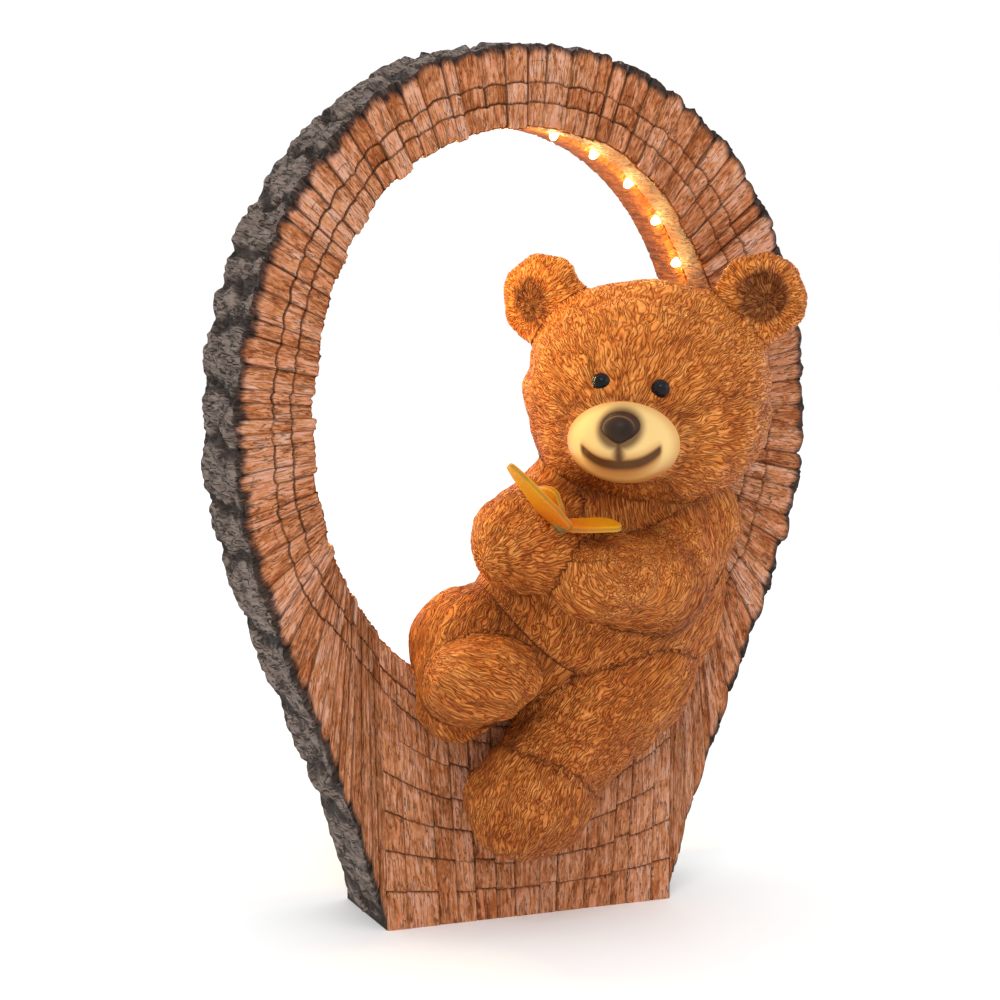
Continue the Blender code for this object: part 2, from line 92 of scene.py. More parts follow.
def swell_noise(points: np.ndarray, seed: int = 0) -> np.ndarray:
    """Smooth noise with one swell to a unit.

    Args:
        points: Places, as rows of three numbers.
        seed: Picks one of many patterns.

    Returns:
        One number from about -1 to 1 for each place.
    """
    cell = np.floor(points).astype(np.int64)
    local = points - cell
    ease = local**3 * (local * (local * 6.0 - 15.0) + 10.0)
    total = np.zeros(len(points))
    for corner in itertools.product((0, 1), repeat=3):
        mixed = (cell + corner) @ HASH_STEPS + seed * HASH_SEED
        mixed = (mixed ^ (mixed >> 13)) * HASH_MIX
        lean = GRADIENTS[(mixed ^ (mixed >> 16)) % len(GRADIENTS)]
        weight = np.prod(np.where(corner, ease, 1.0 - ease), axis=1)
        total += weight * ((local - corner) * lean).sum(axis=1)
    return total * NOISE_GAIN


def smooth_step(low: float, high: float, value: np.ndarray) -> np.ndarray:
    """Eases a value from 0 at low to 1 at high.

    Args:
        low: Where the rise starts.
        high: Where it ends.
        value: The values to ease.

    Returns:
        Numbers from 0 to 1.
    """
    share = np.clip((value - low) / (high - low), 0.0, 1.0)
    return share * share * (3.0 - 2.0 * share)


def mesh_from(name: str, points: np.ndarray, faces: np.ndarray, marks: Marks) -> bpy.types.Mesh:
    """Makes a smooth mesh with values on its vertices.

    Args:
        name: The mesh's name.
        points: Vertex places, as rows of three numbers.
        faces: Vertex numbers of each face.
        marks: Values for each vertex by name: one number each, or three.

    Returns:
        The mesh.
    """
    mesh = bpy.data.meshes.new(name)
    mesh.from_pydata(points.tolist(), [], faces.tolist())
    for mark, values in marks.items():
        kind, slot = ("FLOAT", "value") if values.ndim == 1 else ("FLOAT_VECTOR", "vector")
        layer = mesh.attributes.new(mark, kind, "POINT")
        layer.data.foreach_set(slot, values.astype(np.float32).ravel())
    mesh.shade_smooth()
    return mesh


def circle(steps: int) -> np.ndarray:
    """Even steps of angle once round."""
    return np.linspace(0, 2 * math.pi, steps, endpoint=False)


def grid_faces(rows: int, columns: int, closed: bool) -> np.ndarray:
    """Faces of a grid of vertices that is numbered row by row.

    Args:
        rows: Number of rows.
        columns: Vertices in each row.
        closed: Whether the last row joins the first.

    Returns:
        Four vertex numbers for each face.
    """
    row = np.arange(rows if closed else rows - 1)[:, None]
    column = np.arange(columns - 1)[None, :]
    here, after = row * columns + column, (row + 1) % rows * columns + column
    return np.stack([here, here + 1, after + 1, after], axis=-1).reshape(-1, 4)


def put(name: str, mesh: bpy.types.Mesh, *materials: bpy.types.Material, slot: str) -> bpy.types.Object:
    """Adds a piece to the statue.

    Args:
        name: The piece's name.
        mesh: Its mesh, in the statue's metres.
        materials: Its finishes.
        slot: The record's material slot; not used.

    Returns:
        The piece, riding on the statue.
    """
    for material in materials:
        mesh.materials.append(material)
    piece = bpy.data.objects.new(name, mesh)
    bpy.context.scene.collection.objects.link(piece)
    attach(piece, BODY)
    REPORT.info("%s: %d faces", name, len(mesh.polygons))
    return piece


class NodeSheet:
    """The node tree of one finish, with short calls for the nodes that the finishes share."""

    def __init__(self, name: str, **levels: float) -> None:
        """Starts a material.

        Args:
            name: The material's name.
            levels: Values of the shader's own sockets, with _ for a space.
        """
        self.material = bpy.data.materials.new(name)
        self.material.use_nodes = True
        self.tree = self.material.node_tree
        self.shader = self.tree.nodes["Principled BSDF"]
        for socket, level in levels.items():
            self.shader.inputs[socket.replace("_", " ").title().replace("Ior", "IOR")].default_value = level

    def node(self, kind: str, inputs: dict[int | str, Value], **settings: object) -> bpy.types.Node:
        """Adds a node.

        Args:
            kind: Its type, without the ShaderNode in front.
            inputs: Values or sockets by input name or number.
            settings: Its other settings.

        Returns:
            The node.
        """
        made = self.tree.nodes.new("ShaderNode" + kind)
        for key, value in settings.items():
            setattr(made, key, value)
        for key, value in inputs.items():
            if isinstance(value, Socket):
                self.tree.links.new(value, made.inputs[key])
            else:
                made.inputs[key].default_value = value
        return made

    def mark(self, name: str) -> Socket:
        """The value of each vertex of this name."""
        return self.node("Attribute", {}, attribute_name=name).outputs["Fac"]

    def place(self, name: str, stretch: Point) -> Socket:
        """A vertex mark of three numbers, stretched along each of them."""
        found = self.node("Attribute", {}, attribute_name=name).outputs["Vector"]
        return self.node("VectorMath", {0: found, 1: stretch}, operation="MULTIPLY").outputs[0]

    def where(self, stretch: Point) -> Socket:
        """The place on the object in metres, stretched along each axis."""
        found = self.node("TexCoord", {}).outputs["Object"]
        return self.node("VectorMath", {0: found, 1: stretch}, operation="MULTIPLY").outputs[0]

    def noise(self, at: Socket, scale: float, detail: float = 2.0, bend: float = 0.0) -> Socket:
        """Noise from 0 to 1.

        Args:
            at: Where it is read.
            scale: Swells to a unit.
            detail: Finer layers.
            bend: How far the pattern is pulled about.

        Returns:
            The noise's output.
        """
        inputs = {"Vector": at, "Scale": scale, "Detail": detail, "Distortion": bend}
        return self.node("TexNoise", inputs).outputs[0]

    def sum(self, operation: str, *terms: Value) -> Socket:
        """A step of arithmetic on sockets or numbers, kept from 0 to 1 where the name ends in a dot.

        Args:
            operation: The step's name, with a dot at its end where the result is kept from 0 to 1.
            terms: The sockets or numbers that it works on.

        Returns:
            The result's output.
        """
        kept = operation.endswith(".")
        settings = {"operation": operation.rstrip("."), "use_clamp": kept}
        return self.node("Math", dict(enumerate(terms)), **settings).outputs[0]

    def line(self, at: Socket, width: float) -> Socket:
        """1 on the middle level of a noise, and 0 away from it, so a thin wandering line."""
        off = self.sum("ABSOLUTE", self.sum("SUBTRACT", at, 0.5))
        return self.sum("SUBTRACT.", 1.0, self.sum("DIVIDE", off, width))

    def ramp(self, at: Socket, *stops: tuple[float, Colour]) -> Socket:
        """Colours along a value.

        Args:
            at: The value.
            stops: Places from 0 to 1, each with its colour.

        Returns:
            The colour's output.
        """
        node = self.node("ValToRGB", {0: at})
        points = node.color_ramp.elements
        while len(points) < len(stops):
            points.new(1.0)
        for point, (position, colour) in zip(points, stops):
            point.position = position
            point.color = (*colour, 1.0)
        return node.outputs[0]

    def blend(self, share: Value, under: Value, over: Value, how: str = "MIX") -> Socket:
        """Lays one colour over another.

        Args:
            share: How much of the upper one shows.
            under: The lower colour.
            over: The upper colour.
            how: The way they mix.

        Returns:
            The mixed colour.
        """
        sides = [(*side, 1.0) if isinstance(side, tuple) else side for side in (under, over)]
        inputs = {0: share, 6: sides[0], 7: sides[1]}
        return self.node("Mix", inputs, data_type="RGBA", blend_type=how).outputs[2]

    def finish(self, colour: Socket, roughness: Socket, height: Socket, depth: float,
               firmness: float = 1.0) -> bpy.types.Material:
        """Joins the colour, the gloss and the relief to the shader.

        Args:
            colour: The colour's socket.
            roughness: The roughness socket.
            height: The relief's socket, from 0 to 1.
            depth: How deep the relief is, in metres.
            firmness: How strongly it shows.

        Returns:
            The material.
        """
        bump = self.node("Bump", {"Height": height, "Distance": depth, "Strength": firmness})
        for socket, name in ((colour, "Base Color"), (roughness, "Roughness"), (bump.outputs[0], "Normal")):
            self.tree.links.new(socket, self.shader.inputs[name])
        return self.material


@dataclass(frozen=True)
class FurPaint:
    """Carved fur: dark paint washed into the grooves, a light brush dragged over the ridges, and painted
    shade in the creases between parts and towards the bottom.
    """

    groove: Colour = paint(98, 38, 2)
    low: Colour = paint(168, 80, 18)
    middle: Colour = paint(204, 115, 42)
    ridge: Colour = paint(230, 152, 78)
    # crease: the colour of the painted shade laid into the creases where the figure's parts run together
    crease: Colour = paint(84, 36, 12)
    dish: Colour = paint(70, 34, 18)
    groove_depth: float = 0.0011

    def material(self, name: str) -> bpy.types.Material:
        """The finish, read along the combing of the fur.

        Args:
            name: The material's name.

        Returns:
            The material.
        """
        sheet = NodeSheet(name, specular_ior_level=0.22)
        share = sheet.mark("comb_share")

        def strands(stretch: Point, detail: float, bend: float) -> Socket:
            """Noise drawn out along the fur, faded from one layer of the combing to the other.

            Args:
                stretch: Cells to a strand's width across the fur, twice, and along it.
                detail: Steps of finer noise.
                bend: How far the pattern is pulled about.

            Returns:
                The noise.
            """
            layers = (sheet.place(layer, stretch) for layer in ("comb", "comb_after"))
            first, second = (sheet.noise(layer, 1.0, detail, bend) for layer in layers)
            return sheet.sum("ADD", first, sheet.sum("MULTIPLY", sheet.sum("SUBTRACT", second, first), share))

        strand = strands((2.45, 2.45, 0.82), 0.0, 0.3)
        fine = strands((4.2, 4.2, 1.35), 1.0, 0.3)
        tuft = strands((0.5, 0.5, 0.36), 1.0, 0.5)
        off = sheet.sum("ABSOLUTE", sheet.sum("SUBTRACT", strand, 0.5))
        round_top = sheet.sum("POWER", sheet.sum("MULTIPLY.", off, 5.5), 0.6)
        cut = sheet.sum("SUBTRACT.", 1.0, sheet.sum("MULTIPLY", off, 17.0))
        nick = sheet.line(fine, 0.05)
        ridge = sheet.sum("ADD", 0.08, sheet.sum("MULTIPLY", round_top, 0.55))
        ridge = sheet.sum("ADD", ridge, sheet.sum("MULTIPLY", sheet.sum("SUBTRACT", fine, 0.5), 0.7))
        ridge = sheet.sum("ADD", ridge, sheet.sum("MULTIPLY", sheet.sum("SUBTRACT", tuft, 0.5), 0.45))
        ridge = sheet.sum("ADD", ridge, sheet.sum("MULTIPLY", sheet.mark("relief"), 0.26))
        ridge = sheet.sum("SUBTRACT.", ridge, sheet.sum("MULTIPLY", sheet.mark("seam"), 0.08))
        stops = ((0.10, self.groove), (0.34, self.low), (0.62, self.middle), (0.95, self.ridge))
        colour = sheet.ramp(ridge, *stops)
        colour = sheet.blend(sheet.sum("MULTIPLY", cut, 0.7), colour, self.groove)
        colour = sheet.blend(sheet.sum("MULTIPLY", nick, 0.3), colour, self.groove)
        cloud = sheet.noise(sheet.where((1.0, 1.0, 1.0)), 24.0, 2.0)
        colour = sheet.blend(sheet.sum("MULTIPLY", cloud, 0.25), colour, paint(206, 116, 52))
        # painted shade: the fur is darkened towards the bottom, fully below 5 cm and fading out by about 23
        # cm up
        low = sheet.node("SeparateXYZ", {0: sheet.where((1.0, 1.0, 1.0))}).outputs[2]
        low = sheet.sum("SUBTRACT.", 1.0, sheet.sum("MULTIPLY", sheet.sum("SUBTRACT", low, 0.05), 5.5))
        colour = sheet.blend(low, colour, paint(222, 214, 210), "MULTIPLY")
        # painted shade: darker in the creases where the figure's parts run together
        crease = sheet.sum("MULTIPLY.", sheet.mark("crease"), 0.35)
        dish = sheet.sum("MULTIPLY.", sheet.mark("dish"), 0.8)
        colour = sheet.blend(crease, colour, self.crease, "MULTIPLY")
        colour = sheet.blend(dish, colour, self.dish, "MULTIPLY")
        gloss = sheet.sum("SUBTRACT", 0.68, sheet.sum("MULTIPLY", ridge, 0.24))
        height = sheet.sum("ADD", sheet.sum("MULTIPLY", round_top, 0.75), sheet.sum("MULTIPLY", fine, 0.4))
        height = sheet.sum("SUBTRACT.", height, sheet.sum("MULTIPLY", nick, 0.12))
        return sheet.finish(colour, gloss, height, self.groove_depth)


@dataclass(frozen=True)
class WoodPaint:
    """Cut wood: tan with pinkish dry-brushed ribs, a brown wash in the cracks and fine grain."""

    shadow: Colour = paint(122, 66, 28)
    base: Colour = paint(168, 102, 56)
    light: Colour = paint(204, 150, 108)
    pale: Colour = paint(214, 184, 164)
    crack: Colour = paint(88, 42, 16)
    rim: Colour = paint(58, 38, 34)
    grain_depth: float = 0.0022

    def material(self, name: str, tint: Colour) -> bpy.types.Material:
        """The finish, read along the grain.

        Args:
            name: The material's name.
            tint: The wash over the whole of it.

        Returns:
            The material.
        """
        sheet = NodeSheet(name, specular_ior_level=0.2)
        grain = sheet.noise(sheet.place("grain", (0.62, 0.06, 1.0)), 1.0, 4.0, 0.5)
        chips = sheet.noise(sheet.place("grain", (0.34, 0.12, 1.0)), 1.0, 3.0, 0.8)
        pits = sheet.noise(sheet.place("grain", (0.9, 0.4, 1.0)), 1.0, 4.0, 0.6)
        hair = sheet.line(grain, 0.022)
        level = sheet.sum("MULTIPLY", sheet.mark("level"), 0.50)
        level = sheet.sum("ADD", level, sheet.sum("MULTIPLY", chips, 0.85))
        level = sheet.sum("ADD", level, sheet.sum("MULTIPLY", sheet.sum("SUBTRACT", pits, 0.5), 0.55))
        level = sheet.sum("ADD", level, sheet.sum("MULTIPLY", sheet.sum("SUBTRACT", grain, 0.5), 0.7))
        level = sheet.sum("SUBTRACT.", level, 0.14)
        stops = ((0.12, self.shadow), (0.40, self.base), (0.64, self.light), (0.88, self.pale))
        colour = sheet.ramp(level, *stops)
        colour = sheet.blend(sheet.sum("MULTIPLY", grain, 0.8), colour, tint, "OVERLAY")
        colour = sheet.blend(sheet.sum("MULTIPLY.", hair, 0.55), colour, self.crack)
        worn = sheet.sum("MULTIPLY.", sheet.mark("carve"), sheet.sum("MULTIPLY", pits, 1.25))
        colour = sheet.blend(worn, colour, self.crack)
        rim = sheet.sum("MULTIPLY.", sheet.mark("rim"), sheet.sum("ADD", 0.45, pits))
        colour = sheet.blend(rim, colour, self.rim)
        gloss = sheet.sum("ADD", 0.5, sheet.sum("MULTIPLY", chips, 0.25))
        height = sheet.sum("ADD", sheet.sum("MULTIPLY", grain, 0.9), sheet.sum("MULTIPLY", pits, 0.45))
        height = sheet.sum("SUBTRACT.", height, sheet.sum("ADD", 0.15, sheet.sum("MULTIPLY", hair, 0.35)))
        return sheet.finish(colour, gloss, height, self.grain_depth)


@dataclass(frozen=True)
class BarkPaint:
    """Bark: charcoal with a grey-brown dry brush, almost black in the crevices."""

    dark: Colour = paint(14, 10, 10)
    middle: Colour = paint(58, 47, 44)
    light: Colour = paint(140, 124, 114)
    grain_depth: float = 0.0020

    def material(self, name: str) -> bpy.types.Material:
        """The finish, read over the bark.

        Args:
            name: The material's name.

        Returns:
            The material.
        """
        sheet = NodeSheet(name, specular_ior_level=0.2)
        rough = sheet.noise(sheet.place("grain", (0.40, 0.07, 1.0)), 1.0, 5.0, 0.4)
        fibre = sheet.noise(sheet.place("grain", (1.3, 0.13, 1.0)), 1.0, 3.0, 0.5)
        fissure = sheet.line(sheet.noise(sheet.place("grain", (0.34, 0.05, 1.0)), 1.0, 2.0, 0.6), 0.03)
        level = sheet.sum("ADD", sheet.sum("MULTIPLY", rough, 1.0), sheet.sum("MULTIPLY", fibre, 0.7))
        level = sheet.sum("SUBTRACT", level, 0.18)
        level = sheet.sum("SUBTRACT", level, sheet.sum("MULTIPLY", sheet.mark("carve"), 0.40))
        level = sheet.sum("SUBTRACT", level, sheet.sum("MULTIPLY", sheet.mark("rim"), 0.25))
        level = sheet.sum("SUBTRACT.", level, sheet.sum("MULTIPLY", fissure, 0.45))
        colour = sheet.ramp(level, (0.25, self.dark), (0.5, self.middle), (0.8, self.light))
        stain = sheet.noise(sheet.where((1.0, 1.0, 1.0)), 40.0, 2.0)
        colour = sheet.blend(sheet.sum("MULTIPLY", stain, 0.35), colour, paint(96, 76, 60))
        gloss = sheet.sum("ADD", 0.55, sheet.sum("MULTIPLY", rough, 0.3))
        return sheet.finish(colour, gloss, level, self.grain_depth)


@dataclass(frozen=True)
class LogSlice:
    """The upright slice of log: cut face, bark, inner wall, back and underside."""

    height: float = 0.400
    width: float = 0.276
    depth: float = 0.0593
    foot_width: float = 0.143
    widest_z: float = 0.224
    crown_power: float = 2.13
    waist_ease: float = 0.42
    opening_width: float = 0.2036
    opening_height: float = 0.2632
    opening_z: float = 0.2352
    opening_power: float = 2.12
    opening_x: float = -0.0016
    ring_offsets: tuple[float, float] = (0.0125, 0.0235)
    ring_half_width: float = 0.0007
    ring_depth: float = 0.0014
    crack_half_width: float = 0.00065
    crack_depth: float = 0.0015
    rib_depth: float = 0.0022
    rib_widths: tuple[float, float] = (0.0050, 0.0120)
    foot_rib_widths: tuple[float, float] = (0.0085, 0.0165)
    rim_step: float = 0.0013
    rim_notch: float = 0.0022
    proud_left: float = 0.0022
    proud_right: float = 0.0034
    proud_turn: float = 0.7
    bark_relief: float = 0.0044
    bark_edge: float = 0.0030
    lump_widths: tuple[float, float] = (0.012, 0.030)
    channel_width: float = 0.0090
    channel_depth: float = 0.0024
    string_turn: tuple[float, float] = (27.0, 226.0)
    foot_lines: int = 5
    foot_fan: float = 0.36
    fan_reach: float = 1.0
    seed: int = 12

    @property
    def front(self) -> float:
        """The cut face's plane."""
        return -self.depth / 2

    def half_width(self, z: np.ndarray) -> np.ndarray:
        """Half the slice's width at each height.

        Args:
            z: Heights in metres.

        Returns:
            Half widths in metres.
        """
        rise = np.clip((z - self.widest_z) / (self.height - self.widest_z), 0.0, 1.0)
        crown = self.width / 2 * (1.0 - rise**self.crown_power) ** (1.0 / self.crown_power)
        fall = np.clip((self.widest_z - z) / self.widest_z, 0.0, 1.0) ** 2
        drop = fall / (self.waist_ease + (1.0 - self.waist_ease) * fall)
        return np.where(z > self.widest_z, crown, self.width / 2 - (self.width - self.foot_width) / 2 * drop)

    def outline_radius(self, angle: np.ndarray) -> np.ndarray:
        """How far the outline lies from the opening's centre in each direction.

        Args:
            angle: Directions from the opening's centre.

        Returns:
            Distances in metres.
        """
        near, far = np.zeros_like(angle), np.full_like(angle, self.width + self.height)
        for _ in range(BISECTIONS):
            middle = (near + far) / 2
            z = self.opening_z + middle * np.sin(angle)
            across = np.abs(self.opening_x + middle * np.cos(angle))
            inside = (z >= 0.0) & (z <= self.height) & (across <= self.half_width(z))
            near, far = np.where(inside, middle, near), np.where(inside, far, middle)
        return near

    def overhang(self, angle: np.ndarray) -> np.ndarray:
        """How far the rough bark stands proud of the plain outline in each direction.

        Args:
            angle: Directions from the opening's centre.

        Returns:
            Distances in metres.
        """
        turn = np.abs(np.angle(np.exp(1j * (angle + math.pi / 2))))
        half_foot = (self.foot_angles()[1] - self.foot_angles()[0]) / 2
        proud = self.proud_left + self.proud_right * np.clip(np.cos(angle - self.proud_turn), 0.0, 1.0)
        return proud * smooth_step(half_foot, half_foot + 0.35, turn)

    def opening_radius(self, angle: np.ndarray) -> np.ndarray:
        """How far the opening's edge lies from its centre in each direction.

        Args:
            angle: Directions from the opening's centre.

        Returns:
            Distances in metres.
        """
        across = np.abs(np.cos(angle)) * 2 / self.opening_width
        up = np.abs(np.sin(angle)) * 2 / self.opening_height
        return (across**self.opening_power + up**self.opening_power) ** (-1.0 / self.opening_power)

    def foot_angles(self) -> tuple[float, float]:
        """Directions of the foot's two corners from the opening's centre.

        Returns:
            The left corner's direction, and the right corner's.
        """
        half = self.foot_width / 2
        left = math.atan2(-self.opening_z, -half - self.opening_x)
        return left, math.atan2(-self.opening_z, half - self.opening_x)

    def at(self, angle: np.ndarray, radius: np.ndarray) -> np.ndarray:
        """Places (x, z) of these directions and distances about the opening's centre."""
        across = self.opening_x + radius * np.cos(angle)
        return np.stack([across, self.opening_z + radius * np.sin(angle)], axis=-1)

    def inner_angle(self, outer: np.ndarray) -> np.ndarray:
        """Where on the opening each crack from the outline ends; they run upright in the base.

        Args:
            outer: Directions of places on the outline.

        Returns:
            Directions of the places on the opening.
        """
        turn = np.angle(np.exp(1j * (outer + math.pi / 2)))
        half_foot = (self.foot_angles()[1] - self.foot_angles()[0]) / 2
        spread = np.where(np.abs(turn) < half_foot, turn / half_foot, np.sign(turn))
        fade = 1.0 - smooth_step(half_foot, half_foot + self.fan_reach, np.abs(turn))
        return outer + self.foot_fan * spread * fade

    def stations(self) -> Marks:
        """Directions of the loft's sections, with close ones on each crack.

        Returns:
            For each section its direction, rib number, share of the rib and run in millimetres.
        """
        rng = np.random.default_rng(self.seed)
        left, right = self.foot_angles()
        table: dict[str, list[float]] = {"angle": [], "rib": [], "share": [], "run": []}
        run, rib = 0.0, 0
        stretches = (
            (left, right, self.foot_rib_widths, 13),
            (right, left + 2 * math.pi, self.rib_widths, 7),
        )
        for start, end, widths, steps in stretches:
            fine = np.linspace(start, end, 2000)
            inner = self.at(self.inner_angle(fine), self.opening_radius(self.inner_angle(fine)))
            middle = (inner + self.at(fine, self.outline_radius(fine))) / 2
            arc = np.concatenate(([0.0], np.cumsum(np.linalg.norm(np.diff(middle, axis=0), axis=1))))
            edges = [0.0]
            while edges[-1] < arc[-1] - widths[0] / 2:
                edges.append(edges[-1] + rng.uniform(*widths))
            edges = np.array(edges) * arc[-1] / edges[-1]
            for low, high in zip(edges[:-1], edges[1:]):
                side = self.crack_half_width / (high - low)
                shares = np.concatenate(([0.0], np.linspace(side, 1.0 - side, steps)))
                table["angle"].extend(np.interp(low + shares * (high - low), arc, fine))
                table["rib"].extend([rib] * len(shares))
                table["share"].extend(shares)
                table["run"].extend((run + low + shares * (high - low)) * MILLIMETRES)
                rib += 1
            run += arc[-1]
        return {key: np.array(values) for key, values in table.items()}

    def rims(self, table: Marks) -> tuple[np.ndarray, np.ndarray]:
        """The inner and outer rim of each section of the cut face.

        Args:
            table: The sections.

        Returns:
            Places (x, z) of the inner rim and of the outer rim.
        """
        rng = np.random.default_rng(self.seed + 1)
        outer_angle = table["angle"]
        inner_angle = self.inner_angle(outer_angle)
        steps = rng.uniform(-1.0, 1.0, table["rib"].max() + 2)[table["rib"]]
        run = np.outer(table["run"], (1.0, 0.0, 0.0))
        fine = swell_noise(run / 2.1, 3)
        inner = self.opening_radius(inner_angle) + self.rim_step * steps + 0.0007 * fine
        wander = swell_noise(run / 13.0, 4)
        edge = self.bark_edge * (0.45 + 0.8 * wander + 0.45 * steps)
        edge += self.rim_notch * (1.0 - np.sin(math.pi * table["share"]) ** 0.6)
        edge = np.where(self.in_foot(table), 0.0, np.clip(edge, 0.0, None))
        outline = self.outline_radius(outer_angle) + self.overhang(outer_angle)
        return self.at(inner_angle, inner), self.at(outer_angle, outline - edge)

    def in_foot(self, table: Marks) -> np.ndarray:
        """Whether each section ends in the flat underside."""
        return table["angle"] <= self.foot_angles()[1] + 1e-6

    def face_rows(self) -> list[tuple[int, float, float]]:
        """Rows of the cut face from the inner rim out.

        Returns:
            For each row its band, its share of the band, and 1 where it is the bottom of a groove.
        """
        rows = []
        for band, steps in enumerate((11, 10, *[6] * (self.foot_lines + 1))):
            for step in range(steps):
                rows.append((band, step / (steps - 1), 0.0))
            rows.append((band + 1, -1.0, 1.0))
        return rows[:-1]

    def face(self, table: Marks, inner: np.ndarray, outer: np.ndarray) -> tuple[np.ndarray, Marks]:
        """The cut face as a grid.

        Args:
            table: The sections.
            inner: The inner rim of each.
            outer: The outer rim of each.

        Returns:
            Vertex places as sections by rows by three, and the marks that the paint reads.
        """
        rng = np.random.default_rng(self.seed + 2)
        ribs, bands = table["rib"].max() + 2, self.foot_lines + 3
        rib, share, foot = table["rib"], table["share"], self.in_foot(table)
        span = np.linalg.norm(outer - inner, axis=1)
        wobble = rng.uniform(-1.0, 1.0, (ribs, bands + 1))[rib]
        edges = [np.zeros_like(span)]
        for number, offset in enumerate(self.ring_offsets):
            edges.append(np.minimum(offset + 0.0006 * wobble[:, number], span * (0.3 + 0.25 * number)))
        start = edges[-1]
        for line in range(1, self.foot_lines + 2):
            rise = (span - start) * line / (self.foot_lines + 1)
            edges.append(start + rise + 0.0009 * wobble[:, line + 1] * (line <= self.foot_lines))
        edges[-1] = span
        level = rng.uniform(0.0, 1.0, ribs)[rib]
        block = rng.uniform(-1.0, 1.0, (ribs, bands))[rib]
        tilt = rng.uniform(-1.0, 1.0, ribs)[rib] * (share - 0.5)
        deep = rng.uniform(0.35, 1.0, (ribs, bands))
        deep[rng.uniform(size=deep.shape) < 0.22] = 0.12
        crack = np.where(share == 0.0, 1.0, 0.0)
        calm = np.where(foot, 0.35, 1.0)
        rows = self.face_rows()
        points = np.zeros((len(span), len(rows), 3))
        marks = {key: np.zeros(points.shape[:2]) for key in ("carve", "level", "rim")}
        grain = np.zeros_like(points)
        for number, (band, part, groove) in enumerate(rows):
            ring = groove * (1.0 if band <= len(self.ring_offsets) else 0.0)
            line = groove - ring
            half = self.ring_half_width
            if groove:
                out = edges[band]
            else:
                low = edges[band] + (half if band else 0.0)
                high = edges[band + 1] - (half if band < bands - 1 else 0.0)
                out = low + (high - low) * part
            cut = ring * rng.uniform(0.6, 1.0, ribs)[rib]
            cut = cut + line * np.where(foot, rng.uniform(0.0, 1.0, ribs)[rib] > 0.2, 0.0)
            cracked = crack * deep[rib, min(band, len(self.ring_offsets))]
            at = np.stack([table["run"], out * MILLIMETRES, np.full_like(out, 3.0 * min(band, 2))], axis=-1)
            chips = swell_noise(at / (2.4, 9.0, 1.0), 5) + 0.5 * swell_noise(at / (1.3, 4.0, 1.0), 6)
            zone = np.where(foot, min(band, bands - 1), min(band, len(self.ring_offsets)))
            own = block[np.arange(len(span)), zone]
            swell = level + 0.35 * own + 0.9 * tilt
            ease = smooth_step(0.0, 0.0012, out) * smooth_step(0.0, 0.0016, span - out)
            sink = self.rib_depth * calm * (0.42 * swell + 0.16) + 0.0003 * chips * calm
            sink = np.clip(sink, 0.0, None) + self.crack_depth * cracked + self.ring_depth * cut
            sink += 0.0012 * (1.0 - ease) * np.where(foot & (out > span / 2), 0.0, 1.0)
            place = inner + (outer - inner) * (out / span)[:, None]
            points[:, number] = np.stack([place[:, 0], self.front + sink, place[:, 1]], axis=-1)
            marks["carve"][:, number] = np.clip(cracked + cut, 0.0, 1.0)
            bright = 0.28 - 0.55 * swell - 0.25 * chips
            marks["level"][:, number] = np.clip(0.62 + bright * np.where(foot, 0.5, 0.85), 0.0, 1.0)
            dark = smooth_step(0.0042, 0.0004, span - out + 0.0012 * chips)
            marks["rim"][:, number] = np.where(foot, 0.0, dark)
            grain[:, number] = at + np.outer(own, (0.0, 0.0, 9.0))
        return points, {**marks, "grain": grain}

    def wall(self, table: Marks, rim: np.ndarray) -> tuple[np.ndarray, Marks]:
        """The bark from the cut face's outer rim to the back, as a grid.

        Args:
            table: The sections.
            rim: The last row of the cut face.

        Returns:
            Vertex places and marks.
        """
        rng = np.random.default_rng(self.seed + 7)
        run, angle = table["run"] / MILLIMETRES, table["angle"]
        foot = self.in_foot(table)
        edges = [0.0]
        while edges[-1] < run[-1]:
            edges.append(edges[-1] + rng.uniform(*self.lump_widths))
        edges = np.array(edges)
        steps = 40
        points = np.zeros((len(run), steps, 3))
        marks = {key: np.zeros(points.shape[:2]) for key in ("carve", "level", "rim")}
        grain = np.zeros_like(points)
        radius = self.outline_radius(angle) + self.overhang(angle)
        for number in range(steps):
            share = number / (steps - 1)
            out = np.full_like(run, share * self.depth)
            at = np.stack([run, out, np.zeros_like(run)], axis=-1) * MILLIMETRES
            bent = run + 0.005 * swell_noise(at / (22.0, 20.0, 1.0), 8)
            bent += 0.0012 * swell_noise(at / (4.0, 6.0, 1.0), 9)
            lump = np.clip(np.searchsorted(edges, bent) - 1, 0, len(edges) - 2)
            near = np.minimum(bent - edges[lump], edges[lump + 1] - bent)
            bulge = smooth_step(0.0, 0.0042, near)
            height = 0.55 + 0.45 * swell_noise(at / (17.0, 26.0, 1.0), 10)
            rough = swell_noise(at / (3.2, 6.5, 1.0), 11) + 0.5 * swell_noise(at / (1.7, 2.6, 1.0), 12)
            swell = self.bark_relief * (bulge * height - 0.75 + 0.24 * rough)
            swell = np.clip(swell, -self.bark_relief * 1.2, self.bark_relief * 0.5)
            swell = np.where(foot, 0.0, swell)
            place = self.at(angle, radius + swell)
            y = self.front + out
            points[:, number] = np.stack([place[:, 0], y, place[:, 1]], axis=-1)
            marks["carve"][:, number] = np.where(foot, 0.0, 1.0 - bulge)
            marks["rim"][:, number] = 1.0 - smooth_step(0.0, 0.005, out)
            marks["level"][:, number] = height
            grain[:, number] = at
        points[:, 0] = rim
        turned = smooth_step(0.0, 0.004, np.linspace(0.0, self.depth, steps))
        points[:, 1:3, 1] = rim[:, None, 1] + (points[:, 1:3, 1] - self.front) * turned[None, 1:3]
        return points, {**marks, "grain": grain}

